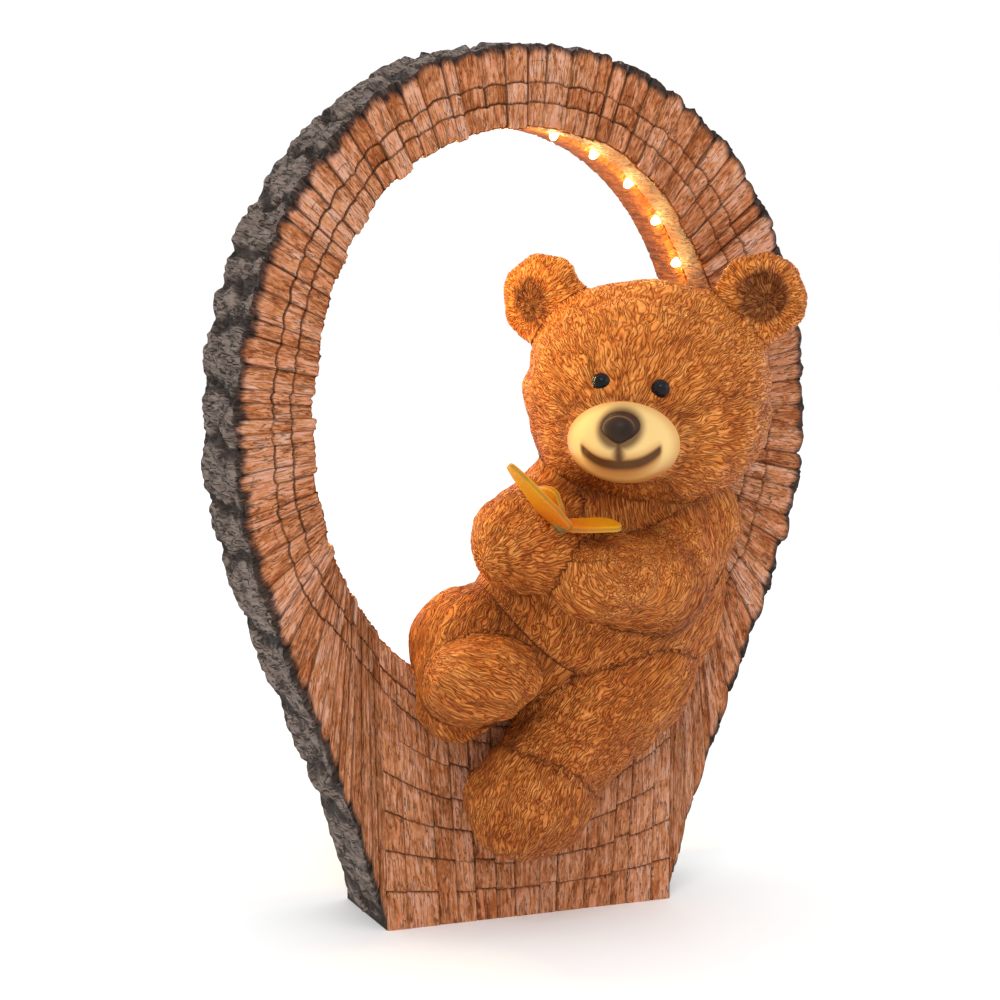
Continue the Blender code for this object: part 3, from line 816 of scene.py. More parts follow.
    def lining(self, table: Marks, rim: np.ndarray) -> tuple[np.ndarray, Marks]:
        """The opening's wall from the back to the cut face's inner rim, as a grid.

        Args:
            table: The sections.
            rim: The first row of the cut face.

        Returns:
            Vertex places and marks.
        """
        run = table["run"]
        angle = self.inner_angle(table["angle"])
        radius = self.opening_radius(angle)
        turn = np.degrees(angle) % 360.0
        strung = (turn >= self.string_turn[0]) & (turn <= self.string_turn[1])
        steps = 27
        points = np.zeros((len(run), steps, 3))
        marks = {key: np.zeros(points.shape[:2]) for key in ("carve", "level", "rim")}
        grain = np.zeros_like(points)
        start = np.linalg.norm(rim[:, [0, 2]] - (self.opening_x, self.opening_z), axis=1)
        for number, share in enumerate(np.linspace(0.0, 1.0, steps)):
            y = np.full_like(run, -self.front - share * self.depth)
            deep = np.full_like(run, share * self.depth * MILLIMETRES)
            at = np.stack([run, deep, np.zeros_like(run)], axis=-1)
            rough = swell_noise(at / (2.6, 8.0, 1.0), 13) + 0.6 * swell_noise(at / (1.4, 3.0, 1.0), 14)
            half = self.channel_width / 2
            in_channel = 1.0 - smooth_step(half - 0.0012, half, np.abs(y))
            shift = 0.0005 * rough * (1.0 - in_channel) - self.rim_step * 0.35
            shift += self.channel_depth * in_channel * strung
            towards_front = smooth_step(0.55, 1.0, np.full_like(run, share))
            out = radius + shift + (start - radius) * towards_front
            place = self.at(angle, out)
            points[:, number] = np.stack([place[:, 0], y, place[:, 1]], axis=-1)
            marks["carve"][:, number] = np.clip(0.5 * in_channel * strung, 0.0, 1.0)
            marks["level"][:, number] = np.clip(0.5 + 0.4 * rough, 0.0, 1.0)
            grain[:, number] = at
        points[:, -1] = rim
        return points, {**marks, "grain": grain}

    def back(self, table: Marks, outer: np.ndarray, inner: np.ndarray) -> tuple[np.ndarray, Marks]:
        """The plainer back, as a grid from the bark to the opening.

        Args:
            table: The sections.
            outer: The last row of the bark.
            inner: The first row of the lining.

        Returns:
            Vertex places and marks.
        """
        steps = 16
        rng = np.random.default_rng(self.seed + 20)
        level = rng.uniform(0.0, 1.0, table["rib"].max() + 2)[table["rib"]]
        crack = np.where(table["share"] == 0.0, 1.0, 0.0)
        points = np.zeros((len(outer), steps, 3))
        marks = {key: np.zeros(points.shape[:2]) for key in ("carve", "level", "rim")}
        grain = np.zeros_like(points)
        for number, share in enumerate(np.linspace(0.0, 1.0, steps)):
            place = outer + (inner - outer) * share
            span = np.linalg.norm(inner - outer, axis=1) * share * MILLIMETRES
            at = np.stack([table["run"], span, np.zeros_like(span)], axis=-1)
            rough = swell_noise(at / (3.0, 9.0, 1.0), 15)
            calm = math.sin(math.pi * share) ** 0.5
            sink = calm * (0.0009 * level + 0.0007 * crack + 0.0003 * (rough + 1.0))
            points[:, number] = place - np.multiply.outer(sink, (0.0, 1.0, 0.0))
            marks["carve"][:, number] = 0.7 * crack * calm
            marks["level"][:, number] = np.clip(0.7 - 0.5 * level + 0.3 * rough, 0.0, 1.0)
            grain[:, number] = at
        return points, {**marks, "grain": grain}

    def build(self) -> list[bpy.types.Object]:
        """Builds and dresses the slice.

        Returns:
            Its pieces, the cut face first.
        """
        table = self.stations()
        inner, outer = self.rims(table)
        face, face_marks = self.face(table, inner, outer)
        wall, wall_marks = self.wall(table, face[:, -1])
        lining, lining_marks = self.lining(table, face[:, 0])
        back, back_marks = self.back(table, wall[:, -1], lining[:, 0])
        wood = WoodPaint().material("cut_wood_paint", paint(160, 108, 72))
        # The opening's wall takes a darker, oranger copy of the cut wood's finish: painted shade inside the
        # opening, tinted orange as painted lamp glow.
        warm = WoodPaint(
            shadow=paint(96, 48, 18),
            base=paint(124, 68, 28),
            light=paint(152, 94, 46),
            pale=paint(168, 112, 64),
        ).material("inner_wood_painted_shade", paint(150, 88, 40))
        bark = BarkPaint().material("bark_paint")
        pieces = []
        sides = (
            ("cut_face", face, face_marks, wood),
            ("bark_rim", wall, wall_marks, bark),
            ("opening_wall", lining, lining_marks, warm),
            ("back_face", back, back_marks, wood),
        )
        for name, grid, marks, finish in sides:
            count, rows = grid.shape[:2]
            flat = {key: value.reshape(count * rows, *value.shape[2:]) for key, value in marks.items()}
            mesh = mesh_from(name, grid.reshape(-1, 3), grid_faces(count, rows, True), flat)
            piece = put(name, mesh, finish, slot="painted_resin")
            if name == "bark_rim":
                self.dress_foot(mesh, self.in_foot(table), rows, wood)
            pieces.append(piece)
        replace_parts(pieces[0], STATUE)
        return pieces

    def dress_foot(self, mesh: bpy.types.Mesh, foot: np.ndarray, rows: int,
                   wood: bpy.types.Material) -> None:
        """Gives the underside the wood's finish.

        Args:
            mesh: The bark rim's mesh.
            foot: Which sections are in the foot.
            rows: Vertices in each section.
            wood: The wood's finish.
        """
        mesh.materials.append(wood)
        under = foot & np.roll(foot, -1)
        mesh.polygons.foreach_set("material_index", np.repeat(under, rows - 1).astype(np.int32))


class Flow(Enum):
    """How the fur of a part of the bear runs."""

    FROM_POLE = "from a pole round the form"
    CIRCLING = "in circles round an axis"


@dataclass(frozen=True)
class Coat:
    """The combing of one part's fur: where it springs from, which way, and the size of a strand."""

    origin: Point
    axis: Point
    flow: Flow = Flow.FROM_POLE
    parting: float = 0.0
    strand_width: float = 2.3
    strand_length: float = 10.0
    band_growth: float = 0.42
    bare: bool = False

    def comb(self, points: np.ndarray) -> tuple[np.ndarray, np.ndarray, np.ndarray]:
        """Places measured in strands: across, across, and along the fur, in two layers.

        The strands keep their width by starting anew in rings round the pole. Each layer starts its rings
        half way through the other's, so that it can fade out where it starts anew.

        Args:
            points: Places in the figure's millimetres.

        Returns:
            Three numbers for each place in the first layer, the same in the second, and the second's share.
        """
        axis = np.array(self.axis) / np.linalg.norm(self.axis)
        side = np.cross(axis, (0.0, 0.0, 1.0) if abs(axis[2]) < 0.9 else (0.0, 1.0, 0.0))
        side /= np.linalg.norm(side)
        top = np.cross(side, axis)
        offset = points - np.array(self.origin)
        along = offset @ axis
        u, v = offset @ side, offset @ top
        reach = np.hypot(u, v)
        span = np.linalg.norm(offset, axis=1)
        tilt = np.arctan2(reach, along)
        turn = np.arctan2(u, v)
        turn = turn - self.parting * np.tanh(turn / 0.35) * np.exp(-((turn / 1.3) ** 2)) * tilt
        step = np.log(np.maximum(reach, 3.0) / 3.0) / self.band_growth
        layers = []
        for first in (0, 1):
            ring = 3.0 * np.exp((2.0 * np.round((step - first) / 2.0) + first) * self.band_growth)
            if self.flow is Flow.CIRCLING:
                run = np.arctan2(v, -u) * ring / self.strand_length
                places = np.stack([reach / self.strand_width, along / self.strand_width, run], axis=-1)
            else:
                round_pole = np.stack([np.sin(turn), np.cos(turn)], axis=-1) * ring[:, None]
                places = np.column_stack([round_pole / self.strand_width, tilt * span / self.strand_length])
            layers.append(places + 17.0 * first)
        share = smooth_step(0.2, 0.8, np.abs(step - 2.0 * np.round(step / 2.0)))
        return layers[0], layers[1], share


@dataclass(frozen=True)
class Egg:
    """An egg of the figure, turned about the upright and then about its own depth."""

    centre: Point
    radii: Point
    coat: Coat | None = None
    turn: float = 0.0
    lean: float = 0.0

    def frame(self) -> np.ndarray:
        """Its own axes as columns."""
        turn = Matrix.Rotation(math.radians(self.turn), 3, "Z")
        return np.array(turn @ Matrix.Rotation(math.radians(self.lean), 3, "Y"))

    def distance(self, points: np.ndarray) -> np.ndarray:
        """About how far each place is outside the egg.

        Args:
            points: Places in the figure's millimetres.

        Returns:
            One distance for each place.
        """
        local = (points - np.array(self.centre)) @ self.frame()
        near = np.linalg.norm(local / self.radii, axis=1)
        steep = np.linalg.norm(local / np.square(self.radii), axis=1)
        return near * (near - 1.0) / np.maximum(steep, 1e-9)

    def reach(self) -> tuple[np.ndarray, float]:
        """The middle of the egg, and a distance from it that holds the whole egg."""
        return np.array(self.centre), max(self.radii)

    def blanks(self) -> list[Matrix]:
        """Where the rough ball for this egg goes."""
        turned = Matrix(self.frame().tolist()).to_4x4()
        return [Matrix.Translation(self.centre) @ turned @ Matrix.Diagonal((*self.radii, 1.0))]


@dataclass(frozen=True)
class Taper:
    """A tapered round limb."""

    start: Point
    end: Point
    start_radius: float
    end_radius: float
    coat: Coat | None = None

    def distance(self, points: np.ndarray) -> np.ndarray:
        """How far each place is outside the limb.

        Args:
            points: Places in the figure's millimetres.

        Returns:
            One distance for each place.
        """
        start = np.array(self.start)
        along = np.array(self.end) - start
        share = np.clip((points - start) @ along / (along @ along), 0.0, 1.0)
        radius = self.start_radius + (self.end_radius - self.start_radius) * share
        return np.linalg.norm(points - start - share[:, None] * along, axis=1) - radius

    def reach(self) -> tuple[np.ndarray, float]:
        """The middle of the limb, and a distance from it that holds the whole limb."""
        start, end = np.array(self.start), np.array(self.end)
        return (start + end) / 2, np.linalg.norm(end - start) / 2 + max(self.start_radius, self.end_radius)

    def blanks(self) -> list[Matrix]:
        """Where the rough balls for this limb go.

        Returns:
            The place and size of each ball.
        """
        places = []
        for share in np.linspace(0.0, 1.0, 5):
            spot = Vector(self.start).lerp(Vector(self.end), share)
            size = self.start_radius + (self.end_radius - self.start_radius) * share
            places.append(Matrix.Translation(spot) @ Matrix.Scale(size, 4))
        return places


@dataclass(frozen=True)
class Head:
    """Where the head is and which way it looks; its own places are right, forward and up of its centre."""

    centre: Point = (52.0, -15.0, 144.0)
    turn: float = 34.0

    def place(self, right: float, forward: float, up: float) -> Point:
        """A place of the head in the figure's frame.

        Args:
            right: Millimetres to the viewer's right of the head's centre.
            forward: Millimetres before it.
            up: Millimetres above it.

        Returns:
            The place.
        """
        turn = math.radians(self.turn)
        x, y, z = self.centre
        return (
            x + right * math.cos(turn) - forward * math.sin(turn),
            y - right * math.sin(turn) - forward * math.cos(turn),
            z + up,
        )

    def local(self, points: np.ndarray) -> tuple[np.ndarray, np.ndarray, np.ndarray]:
        """Places of the figure as right, forward and up of the head's centre.

        Args:
            points: Places in the figure's millimetres.

        Returns:
            How far right, forward and up each place is.
        """
        turn = math.radians(self.turn)
        x, y, z = (points - np.array(self.centre)).T
        right = x * math.cos(turn) - y * math.sin(turn)
        return right, -x * math.sin(turn) - y * math.cos(turn), z

    def facing(self, up: float = 0.0) -> Point:
        """The way it looks, tipped up by a share."""
        turn = math.radians(self.turn)
        return (-math.sin(turn), -math.cos(turn), up)


@dataclass
class Bear:
    """The seated bear, cast with the log: eggs and limbs run together and carved with locks and strands."""

    log: LogSlice
    head: Head = field(default_factory=Head)
    muzzle_at: Point = (-2.2, 44.0, -19.6)
    muzzle_oval: tuple[float, float] = (25.8, 18.9)
    melt: float = 4.2
    far: float = 44.0
    voxel: float = 0.78
    lock_depth: float = 1.5
    strand_depth: float = 0.8
    lock_share: Point = (0.19, 0.19, 0.38)
    hidden_margin: float = 2.5

    def matrix(self) -> Matrix:
        """From the figure's millimetres to the statue's metres."""
        sill = self.log.opening_z - self.log.opening_height / 2
        return Matrix.Translation((0.0, self.log.front, sill)) @ Matrix.Scale(MILLIMETRE, 4)

    def groups(self) -> dict[str, list[Egg | Taper]]:
        """The parts of the figure by the piece that shows them.

        Returns:
            The parts of each piece, by the piece's name.
        """
        at, turn = self.head.place, -self.head.turn
        face = Coat(at(-1, 26, -18), self.head.facing(-0.1), parting=0.10)
        left_ear = Coat(at(-54, 0, 36), self.head.facing(), strand_length=8.0)
        right_ear = Coat(at(54, 2, 40), self.head.facing(), strand_length=8.0)
        bare = Coat(at(*self.muzzle_at), self.head.facing(), bare=True)
        chest = Coat((42, 4, 84), (-0.15, -0.1, 1.0))
        hip = Coat((56, -2, 46), (0.75, 0.1, 0.75))
        shin = Coat((46, -4, 16), (0.8, 0.2, 0.65))
        low_foot = Coat((2, -14, -30), (0.45, 0.1, 0.9))
        knee = Coat((-10, 6, 24), (0.35, 0.2, 1.0))
        high_foot = Coat((-42, -22, 18), (-0.9, 0.2, 0.45))
        far_arm = Coat((4, -8, 86), (0.9, 0.5, 0.35))
        near_arm = Coat((26, -40, 70), (-0.28, -0.96, 0.1), Flow.CIRCLING)
        return {
            "bear_head": [
                Egg(self.head.centre, (55.6, 49.0, 50.0), face, turn),
                Egg(at(-20.4, 8, -11), (28.9, 36, 30.8), face, turn),
                Egg(at(23, 8, -13), (30.8, 36, 33), face, turn),
                Egg(at(-50.5, -7, 40), (20.8, 9.5, 20.8), left_ear, turn - 22),
                Egg(at(51.4, -4, 41.5), (20.8, 9.5, 20.8), right_ear, turn + 20),
                Egg(at(*self.muzzle_at), (24.5, 22, 18), bare, turn),
            ],
            "bear_body": [
                Egg((50, 4, 84), (49, 33, 34), chest),
                Taper((10, 0, 92), (-12, -20, 79), 17, 20, far_arm),
                Taper((-14, -25, 77), (-8, -35, 74), 21, 17, far_arm),
                Taper((78, -5, 79), (51, -30, 57), 23, 20, near_arm),
                Taper((49, -32, 56), (11, -48, 61), 20, 17, near_arm),
            ],
            "bear_legs": [
                Egg((38, 5, 43), (61, 41, 50), hip),
                Taper((46, -6, 8), (0, -20, -29), 31, 24, shin),
                Egg((-12, -25, -43), (29, 27, 26), low_foot),
                Taper((10, 4, 18), (-30, 5, 27), 29, 24, knee),
                Taper((-31, 3, 27), (-43, -14, 4), 23, 17, knee),
                Egg((-36, -30, 16), (27, 20, 18), high_foot, lean=-4),
            ],
        }

    def parts(self) -> list[Egg | Taper]:
        """All the parts of the figure, in the order of their pieces."""
        return list(itertools.chain(*self.groups().values()))

    def dishes(self) -> tuple[Egg, Egg]:
        """The hollows of the two ears.

        Returns:
            The left ear's hollow, and the right ear's.
        """
        at, turn = self.head.place, -self.head.turn
        return (
            Egg(at(-58, 7, 39.5), (12, 9, 13), turn=turn - 22),
            Egg(at(55.5, 9, 43.5), (12.5, 9, 13), turn=turn + 20),
        )

    def melted(self, points: np.ndarray) -> tuple[np.ndarray, np.ndarray, np.ndarray]:
        """The bear's form as a distance.

        Args:
            points: Places in the figure's millimetres.

        Returns:
            The distance outside the bear, the distance outside each part, and how much parts run together.
        """
        shapes = self.parts()
        parts = np.full((len(shapes), len(points)), self.far)
        for number, part in enumerate(shapes):
            centre, reach = part.reach()
            near = np.linalg.norm(points - centre, axis=1) < reach + self.far / 2
            parts[number, near] = part.distance(points[near])
        nearest = parts.min(axis=0)
        joined = nearest - self.melt * np.log(np.exp((nearest - parts) / self.melt).sum(axis=0))
        crease = (nearest - joined) / self.melt
        for dish in self.dishes():
            joined = np.maximum(joined, -dish.distance(points))
        return joined, parts, crease

    def slope(self, points: np.ndarray) -> np.ndarray:
        """The way straight out of the form at each place.

        Args:
            points: Places in the figure's millimetres.

        Returns:
            A direction of length 1 for each place.
        """
        result = np.zeros_like(points)
        for step in ((1, -1, -1), (-1, -1, 1), (-1, 1, -1), (1, 1, 1)):
            shift = 0.05 * np.array(step)
            result += self.melted(points + shift)[0][:, None] * shift
        return result / np.maximum(np.linalg.norm(result, axis=1), 1e-9)[:, None]

    def blank(self) -> bpy.types.Mesh:
        """The figure's rough balls fused into one even mesh.

        Returns:
            The fused mesh.
        """
        shape = bmesh.new()
        for part in self.parts():
            for place in part.blanks():
                bmesh.ops.create_uvsphere(shape, u_segments=48, v_segments=32, radius=1.0, matrix=place)
        mesh = bpy.data.meshes.new("bear_blank")
        shape.to_mesh(mesh)
        shape.free()
        item = bpy.data.objects.new("bear_blank", mesh)
        bpy.context.scene.collection.objects.link(item)
        fuse = item.modifiers.new("Fuse", "REMESH")
        fuse.mode = "VOXEL"
        fuse.voxel_size = self.voxel * 2
        refine = item.modifiers.new("Refine", "SUBSURF")
        refine.subdivision_type = "SIMPLE"
        refine.levels = refine.render_levels = 1
        bpy.context.view_layer.update()
        graph = bpy.context.evaluated_depsgraph_get()
        fused = bpy.data.meshes.new_from_object(item.evaluated_get(graph))
        bpy.data.objects.remove(item)
        return fused

    def carve(self, points: np.ndarray, owner: np.ndarray, crease: np.ndarray) -> tuple[np.ndarray, Marks]:
        """The fur's relief.

        Args:
            points: Places on the smooth form.
            owner: The number of the part that each belongs to.
            crease: How deep in a crease each is.

        Returns:
            How far out each place goes, and the marks that the paint reads.
        """
        layers = np.zeros((2, len(points), 3))
        share = np.zeros(len(points))
        for number, part in enumerate(self.parts()):
            mine = owner == number
            layers[0, mine], layers[1, mine], share[mine] = part.coat.comb(points[mine])
        sway = np.stack([swell_noise(points / 7.0, seed) for seed in (21, 22)], axis=-1)
        layers[:, :, :2] += 0.5 * sway

        def read(stretch: Point, seed: int) -> np.ndarray:
            """Noise along the combing, faded from one layer to the other."""
            first, second = (swell_noise(layer * stretch, seed) for layer in layers)
            return first + (second - first) * share

        lock = read(self.lock_share, 23)
        strand = 1.0 - np.abs(read((0.8, 0.8, 0.6), 24)) * 2.8
        strand = 1.0 - np.clip(strand, 0.0, 1.0) ** 1.5
        wisp = np.clip(np.abs(read((1.3, 1.3, 0.9), 25)) * 2.4, 0.0, 1.0)
        relief = np.clip(0.7 * strand + 0.3 * wisp, 0.0, 1.0)
        lift = self.lock_depth * lock * (1.0 - 0.5 * np.clip(crease, 0.0, 1.0))
        lift += self.strand_depth * (relief - 0.6)
        bare = self.muzzle_share(points)
        lift = lift * smooth_step(1.0, 1.14, bare) - 0.5 * (1.0 - smooth_step(0.98, 1.04, bare))
        marks = {
            "comb": layers[0],
            "comb_after": layers[1],
            "comb_share": share,
            "relief": np.clip(relief * 0.85 + 0.35 * lock, 0.0, 1.0),
            # crease: how deep in a join between parts each place is; the fur's paint turns it into painted
            # shade
            "crease": smooth_step(0.35, 1.0, crease),
            "dish": self.dish_mark(points),
        }
        return lift, marks

    def muzzle_share(self, points: np.ndarray) -> np.ndarray:
        """How far out each place is on the muzzle's oval, seen from before the face: 1 at its rim.

        Args:
            points: Places in the figure's millimetres.

        Returns:
            One share for each place.
        """
        right, forward, up = self.head.local(points)
        across = (right - self.muzzle_at[0]) / self.muzzle_oval[0]
        share = np.hypot(across, (up - self.muzzle_at[2]) / self.muzzle_oval[1])
        return np.where(forward > 25.0, share, 9.0)

    def dish_mark(self, points: np.ndarray) -> np.ndarray:
        """1 in the hollow of an ear, fading at its rim."""
        near = np.min([dish.distance(points) for dish in self.dishes()], axis=0)
        return 1.0 - smooth_step(-1.5, 4.0, near)

    def hidden(self, points: np.ndarray) -> np.ndarray:
        """Whether each place, in metres, is buried in the log.

        Args:
            points: Places in the statue's metres.

        Returns:
            One flag for each place.
        """
        margin = self.hidden_margin / MILLIMETRES
        across, up = points[:, 0] - self.log.opening_x, points[:, 2] - self.log.opening_z
        angle, reach = np.arctan2(up, across), np.hypot(across, up)
        wood = reach > self.log.opening_radius(angle) + margin
        wood &= reach < self.log.outline_radius(angle) - 2 * margin
        return wood & (np.abs(points[:, 1]) < self.log.depth / 2 - margin) & (points[:, 2] > margin)

    def build(self) -> list[bpy.types.Object]:
        """Builds and dresses the furry pieces.

        Returns:
            The head, the body and the legs.
        """
        blank = self.blank()
        points = np.empty(len(blank.vertices) * 3)
        blank.vertices.foreach_get("co", points)
        points = points.reshape(-1, 3)
        corners = np.empty(len(blank.polygons) * 4, np.int32)
        blank.polygons.foreach_get("vertices", corners)
        faces = corners.reshape(-1, 4)
        outward = self.slope(points)
        for _ in range(3):
            points = points - self.melted(points)[0][:, None] * outward * 0.9
        outward = self.slope(points)
        points = points - self.melted(points)[0][:, None] * outward
        _, parts, crease = self.melted(points)
        ragged = 1.6 * np.stack([swell_noise(points / 3.0, 40 + number) for number in range(3)])
        owner = (parts + ragged[np.arange(len(parts)) % 3]).argmin(axis=0)
        bare = [part.coat.bare for part in self.parts()].index(True)
        owner = np.where(owner == bare, 0, owner)
        lift, marks = self.carve(points, owner, crease)
        seam = np.zeros(len(points))
        mixed = faces[(owner[faces] != owner[faces[:, :1]]).any(axis=1)]
        seam[np.unique(mixed)] = 1.0
        marks["seam"] = seam
        gone = self.muzzle_share(points) < 0.93
        points = points + lift[:, None] * outward
        placed = points * MILLIMETRE + np.array(self.matrix().translation)
        gone |= self.hidden(placed)
        faces = faces[~gone[faces].all(axis=1)]
        group_of = np.repeat(np.arange(3), [len(group) for group in self.groups().values()])
        coat = FurPaint().material("carved_fur_paint")
        pieces = []
        for number, name in enumerate(self.groups()):
            mine = faces[group_of[owner[faces[:, 0]]] == number]
            used, index = np.unique(mine, return_inverse=True)
            kept = {key: value[used] for key, value in marks.items()}
            mesh = mesh_from(name, placed[used], index.reshape(-1, 4), kept)
            pieces.append(put(name, mesh, coat, slot="painted_resin"))
        return pieces


@dataclass(frozen=True)
class GlossPaint:
    """Smooth painted resin under clear varnish, with painted shade and painted highlights in a second colour
    where a mark says.
    """

    plain: Colour
    shade: Colour
    mark: str
    dark: Colour = paint(60, 28, 22)
    roughness: float = 0.3

    def material(self, name: str) -> bpy.types.Material:
        """The finish.

        Args:
            name: The material's name.

        Returns:
            The material.
        """
        sheet = NodeSheet(name, specular_ior_level=0.14, coat_weight=0.03, coat_roughness=0.2)
        cloud = sheet.noise(sheet.where((1.0, 1.0, 1.0)), 90.0, 3.0)
        # the _shade mark lays painted shade on the muzzle's lower part and a painted highlight on the nose
        shade = sheet.sum("MULTIPLY.", sheet.mark(self.mark + "_shade"), 1.0)
        line = sheet.sum("MULTIPLY.", sheet.mark(self.mark + "_line"), 0.95)
        colour = sheet.blend(shade, self.plain, self.shade)
        colour = sheet.blend(line, colour, self.dark)
        colour = sheet.blend(sheet.sum("MULTIPLY", cloud, 0.22), colour, self.shade)
        gloss = sheet.sum("ADD", self.roughness, sheet.sum("MULTIPLY", cloud, 0.12))
        fine = sheet.noise(sheet.where((1.0, 1.0, 1.0)), 900.0, 2.0)
        return sheet.finish(colour, gloss, fine, 0.00006, 0.5)


@dataclass
class Face:
    """The smooth parts of the face: muzzle with its smile, nose and eyes."""

    bear: Bear
    muzzle_rings: int = 100
    settling_steps: int = 30
    muzzle_spokes: int = 240
    muzzle_stand: float = 0.25
    start_forward: float = 90.0
    middle: float = -1.6
    smile_low: float = -28.3
    smile_rise: float = 6.8
    smile_half: float = 17.6
    smile_power: float = 2.6
    smile_width: float = 2.8
    nose_at: Point = (-1.5, 61.0, -12.2)
    nose_radii: Point = (9.0, 8.2, 7.7)
    eyes_at: tuple[Point, Point] = ((-12.6, 48.0, 6.9), (14.0, 48.0, 4.4))
    eye_radius: float = 3.7

    def dome(self, egg: Egg, rings: int, spokes: int) -> tuple[np.ndarray, np.ndarray, np.ndarray]:
        """An egg's mesh with its pole to the front.

        Args:
            egg: The egg, in the figure's frame.
            rings: Rings from pole to pole.
            spokes: Vertices in each ring.

        Returns:
            Local places over the radii, places in the figure, and faces.
        """
        tilt, turn = np.meshgrid(np.linspace(0.001, math.pi * 0.72, rings), circle(spokes))
        unit = np.stack([np.sin(tilt) * np.sin(turn), -np.cos(tilt), np.sin(tilt) * np.cos(turn)], axis=-1)
        unit = unit.reshape(-1, 3)
        places = (unit * egg.radii) @ egg.frame().T + np.array(egg.centre)
        return unit, places, grid_faces(spokes, rings, True)

    def muzzle(self) -> bpy.types.Object:
        """The cream muzzle, a skin on the head's form, with its soft edge, philtrum and painted smile.

        Returns:
            The muzzle.
        """
        head, bear = self.bear.head, self.bear
        shares = np.sin(np.linspace(0.0005, math.pi / 2, self.muzzle_rings))
        share, turn = np.meshgrid(shares, circle(self.muzzle_spokes))
        right = (bear.muzzle_at[0] + share * np.sin(turn) * bear.muzzle_oval[0]).ravel()
        up = (bear.muzzle_at[2] + share * np.cos(turn) * bear.muzzle_oval[1]).ravel()
        share = share.ravel()
        forward = np.full_like(right, self.start_forward)
        sideways, ahead = np.array(head.place(1, 0, 0)) - head.centre, np.array(head.facing())
        for _ in range(self.settling_steps):
            places = np.array(head.centre) + np.outer(right, sideways) + np.outer(forward, ahead)
            places[:, 2] += up
            forward = forward - bear.melted(places)[0] * 0.95
        outward = bear.slope(places)
        off_middle = right - self.middle
        along = np.abs(off_middle) / self.smile_half
        line = self.smile_low + self.smile_rise * along**self.smile_power
        slant = self.smile_rise * self.smile_power * along ** (self.smile_power - 1) / self.smile_half
        off = np.abs(up - line) / np.sqrt(1.0 + slant**2)
        width = self.smile_width * (0.45 + 0.55 * np.sqrt(np.clip(1.0 - along**2, 0.0, 1.0)))
        ends = 1.0 - smooth_step(0.97, 1.06, along)
        smile = (1.0 - smooth_step(0.30, 1.45, off / width)) * ends
        philtrum = 1.0 - smooth_step(0.2, 4.4, np.abs(off_middle))
        philtrum = philtrum * smooth_step(-29.5, -28.0, up) * (1.0 - smooth_step(-17.0, -12.0, up))
        nose = np.hypot((right - self.nose_at[0]) / 10.2, (up - self.nose_at[2]) / 9.0)
        halo = 1.0 - smooth_step(0.80, 1.22, nose)
        lower = smooth_step(-22.0, -38.0, up)
        round_smile = (1.0 - smooth_step(0.8, 2.6, off / width)) * ends
        shade = 0.75 * lower + 0.6 * smooth_step(0.8, 1.0, share) + 0.6 * round_smile
        marks = {
            "muzzle_line": np.clip(np.maximum.reduce([smile * 1.15, philtrum, halo * 0.9]), 0.0, 1.0),
            "muzzle_shade": np.clip(shade, 0.0, 1.0),
        }
        tucked = (0.6 + self.muzzle_stand) * smooth_step(0.975, 1.0, share)
        sunk = 0.8 * np.maximum(smile, philtrum * 0.8) + tucked
        places = places + (self.muzzle_stand - sunk)[:, None] * outward
        cream = GlossPaint(paint(222, 188, 124), paint(176, 116, 58), "muzzle", paint(44, 18, 13))
        faces = grid_faces(self.muzzle_spokes, self.muzzle_rings, True)
        return self.cast("muzzle", places, faces, marks, cream.material("muzzle_paint"))

    def nose(self) -> bpy.types.Object:
        """The nose: a rounded triangle, charcoal with a brown rim and a thin painted highlight between, on
        its upper left.

        Returns:
            The nose.
        """
        head = self.bear.head
        egg = Egg(head.place(*self.nose_at), self.nose_radii, turn=-head.turn)
        unit, places, faces = self.dome(egg, rings=44, spokes=72)
        squeeze = 0.30 * np.clip(-unit[:, 2], 0.0, 1.0) - 0.05 * np.clip(unit[:, 2], 0.0, 1.0)
        places = places - np.outer(unit[:, 0] * squeeze * self.nose_radii[0], egg.frame()[:, 0])
        rim = np.hypot(unit[:, 0], unit[:, 2])
        # painted highlight: a thin pale line just inside the brown rim, strongest on the upper left as if lit
        # from there; it rides on the nose_shade mark
        lit = smooth_step(-0.6, 0.5, unit[:, 2] - 0.4 * unit[:, 0])
        line = lit * np.exp(-(((rim - 0.79) / 0.035) ** 2))
        marks = {"nose_shade": line * 0.55, "nose_line": smooth_step(0.80, 0.88, rim) * 0.95}
        places = places - np.outer(0.5 * np.exp(-(((rim - 0.79) / 0.05) ** 2)), head.facing())
        # the second colour is the pale of the painted highlight
        charcoal = GlossPaint(paint(8, 4, 5), paint(140, 100, 76), "nose", paint(40, 17, 11), 0.40)
        return self.cast("nose", places, faces, marks, charcoal.material("nose_paint"))

    def eye(self, side: str, at: Point) -> bpy.types.Object:
        """One eye: a black dome in a rolled lid.

        Args:
            side: Which eye, for its name.
            at: Its place on the head.

        Returns:
            The eye.
        """
        head = self.bear.head
        radius = self.eye_radius
        egg = Egg(head.place(*at), (radius, radius * 0.8, radius), turn=-head.turn)
        unit, places, faces = self.dome(egg, rings=28, spokes=40)
        rim = np.hypot(unit[:, 0], unit[:, 2])
        behind = -unit[:, 1] < 0.12
        lid = np.exp(-(((np.arccos(np.clip(-unit[:, 1], -1, 1)) - 1.45) / 0.22) ** 2))
        places = places + (unit * 0.55 * lid[:, None]) @ egg.frame().T
        marks = {"eye_line": np.where(behind, 1.0, smooth_step(0.3, 0.8, lid)), "eye_shade": 0.3 * rim**3}
        black = GlossPaint(paint(14, 13, 15), paint(52, 46, 50), "eye", paint(58, 26, 14), 0.08)
        return self.cast("eye_" + side, places, faces, marks, black.material("eye_paint_" + side))

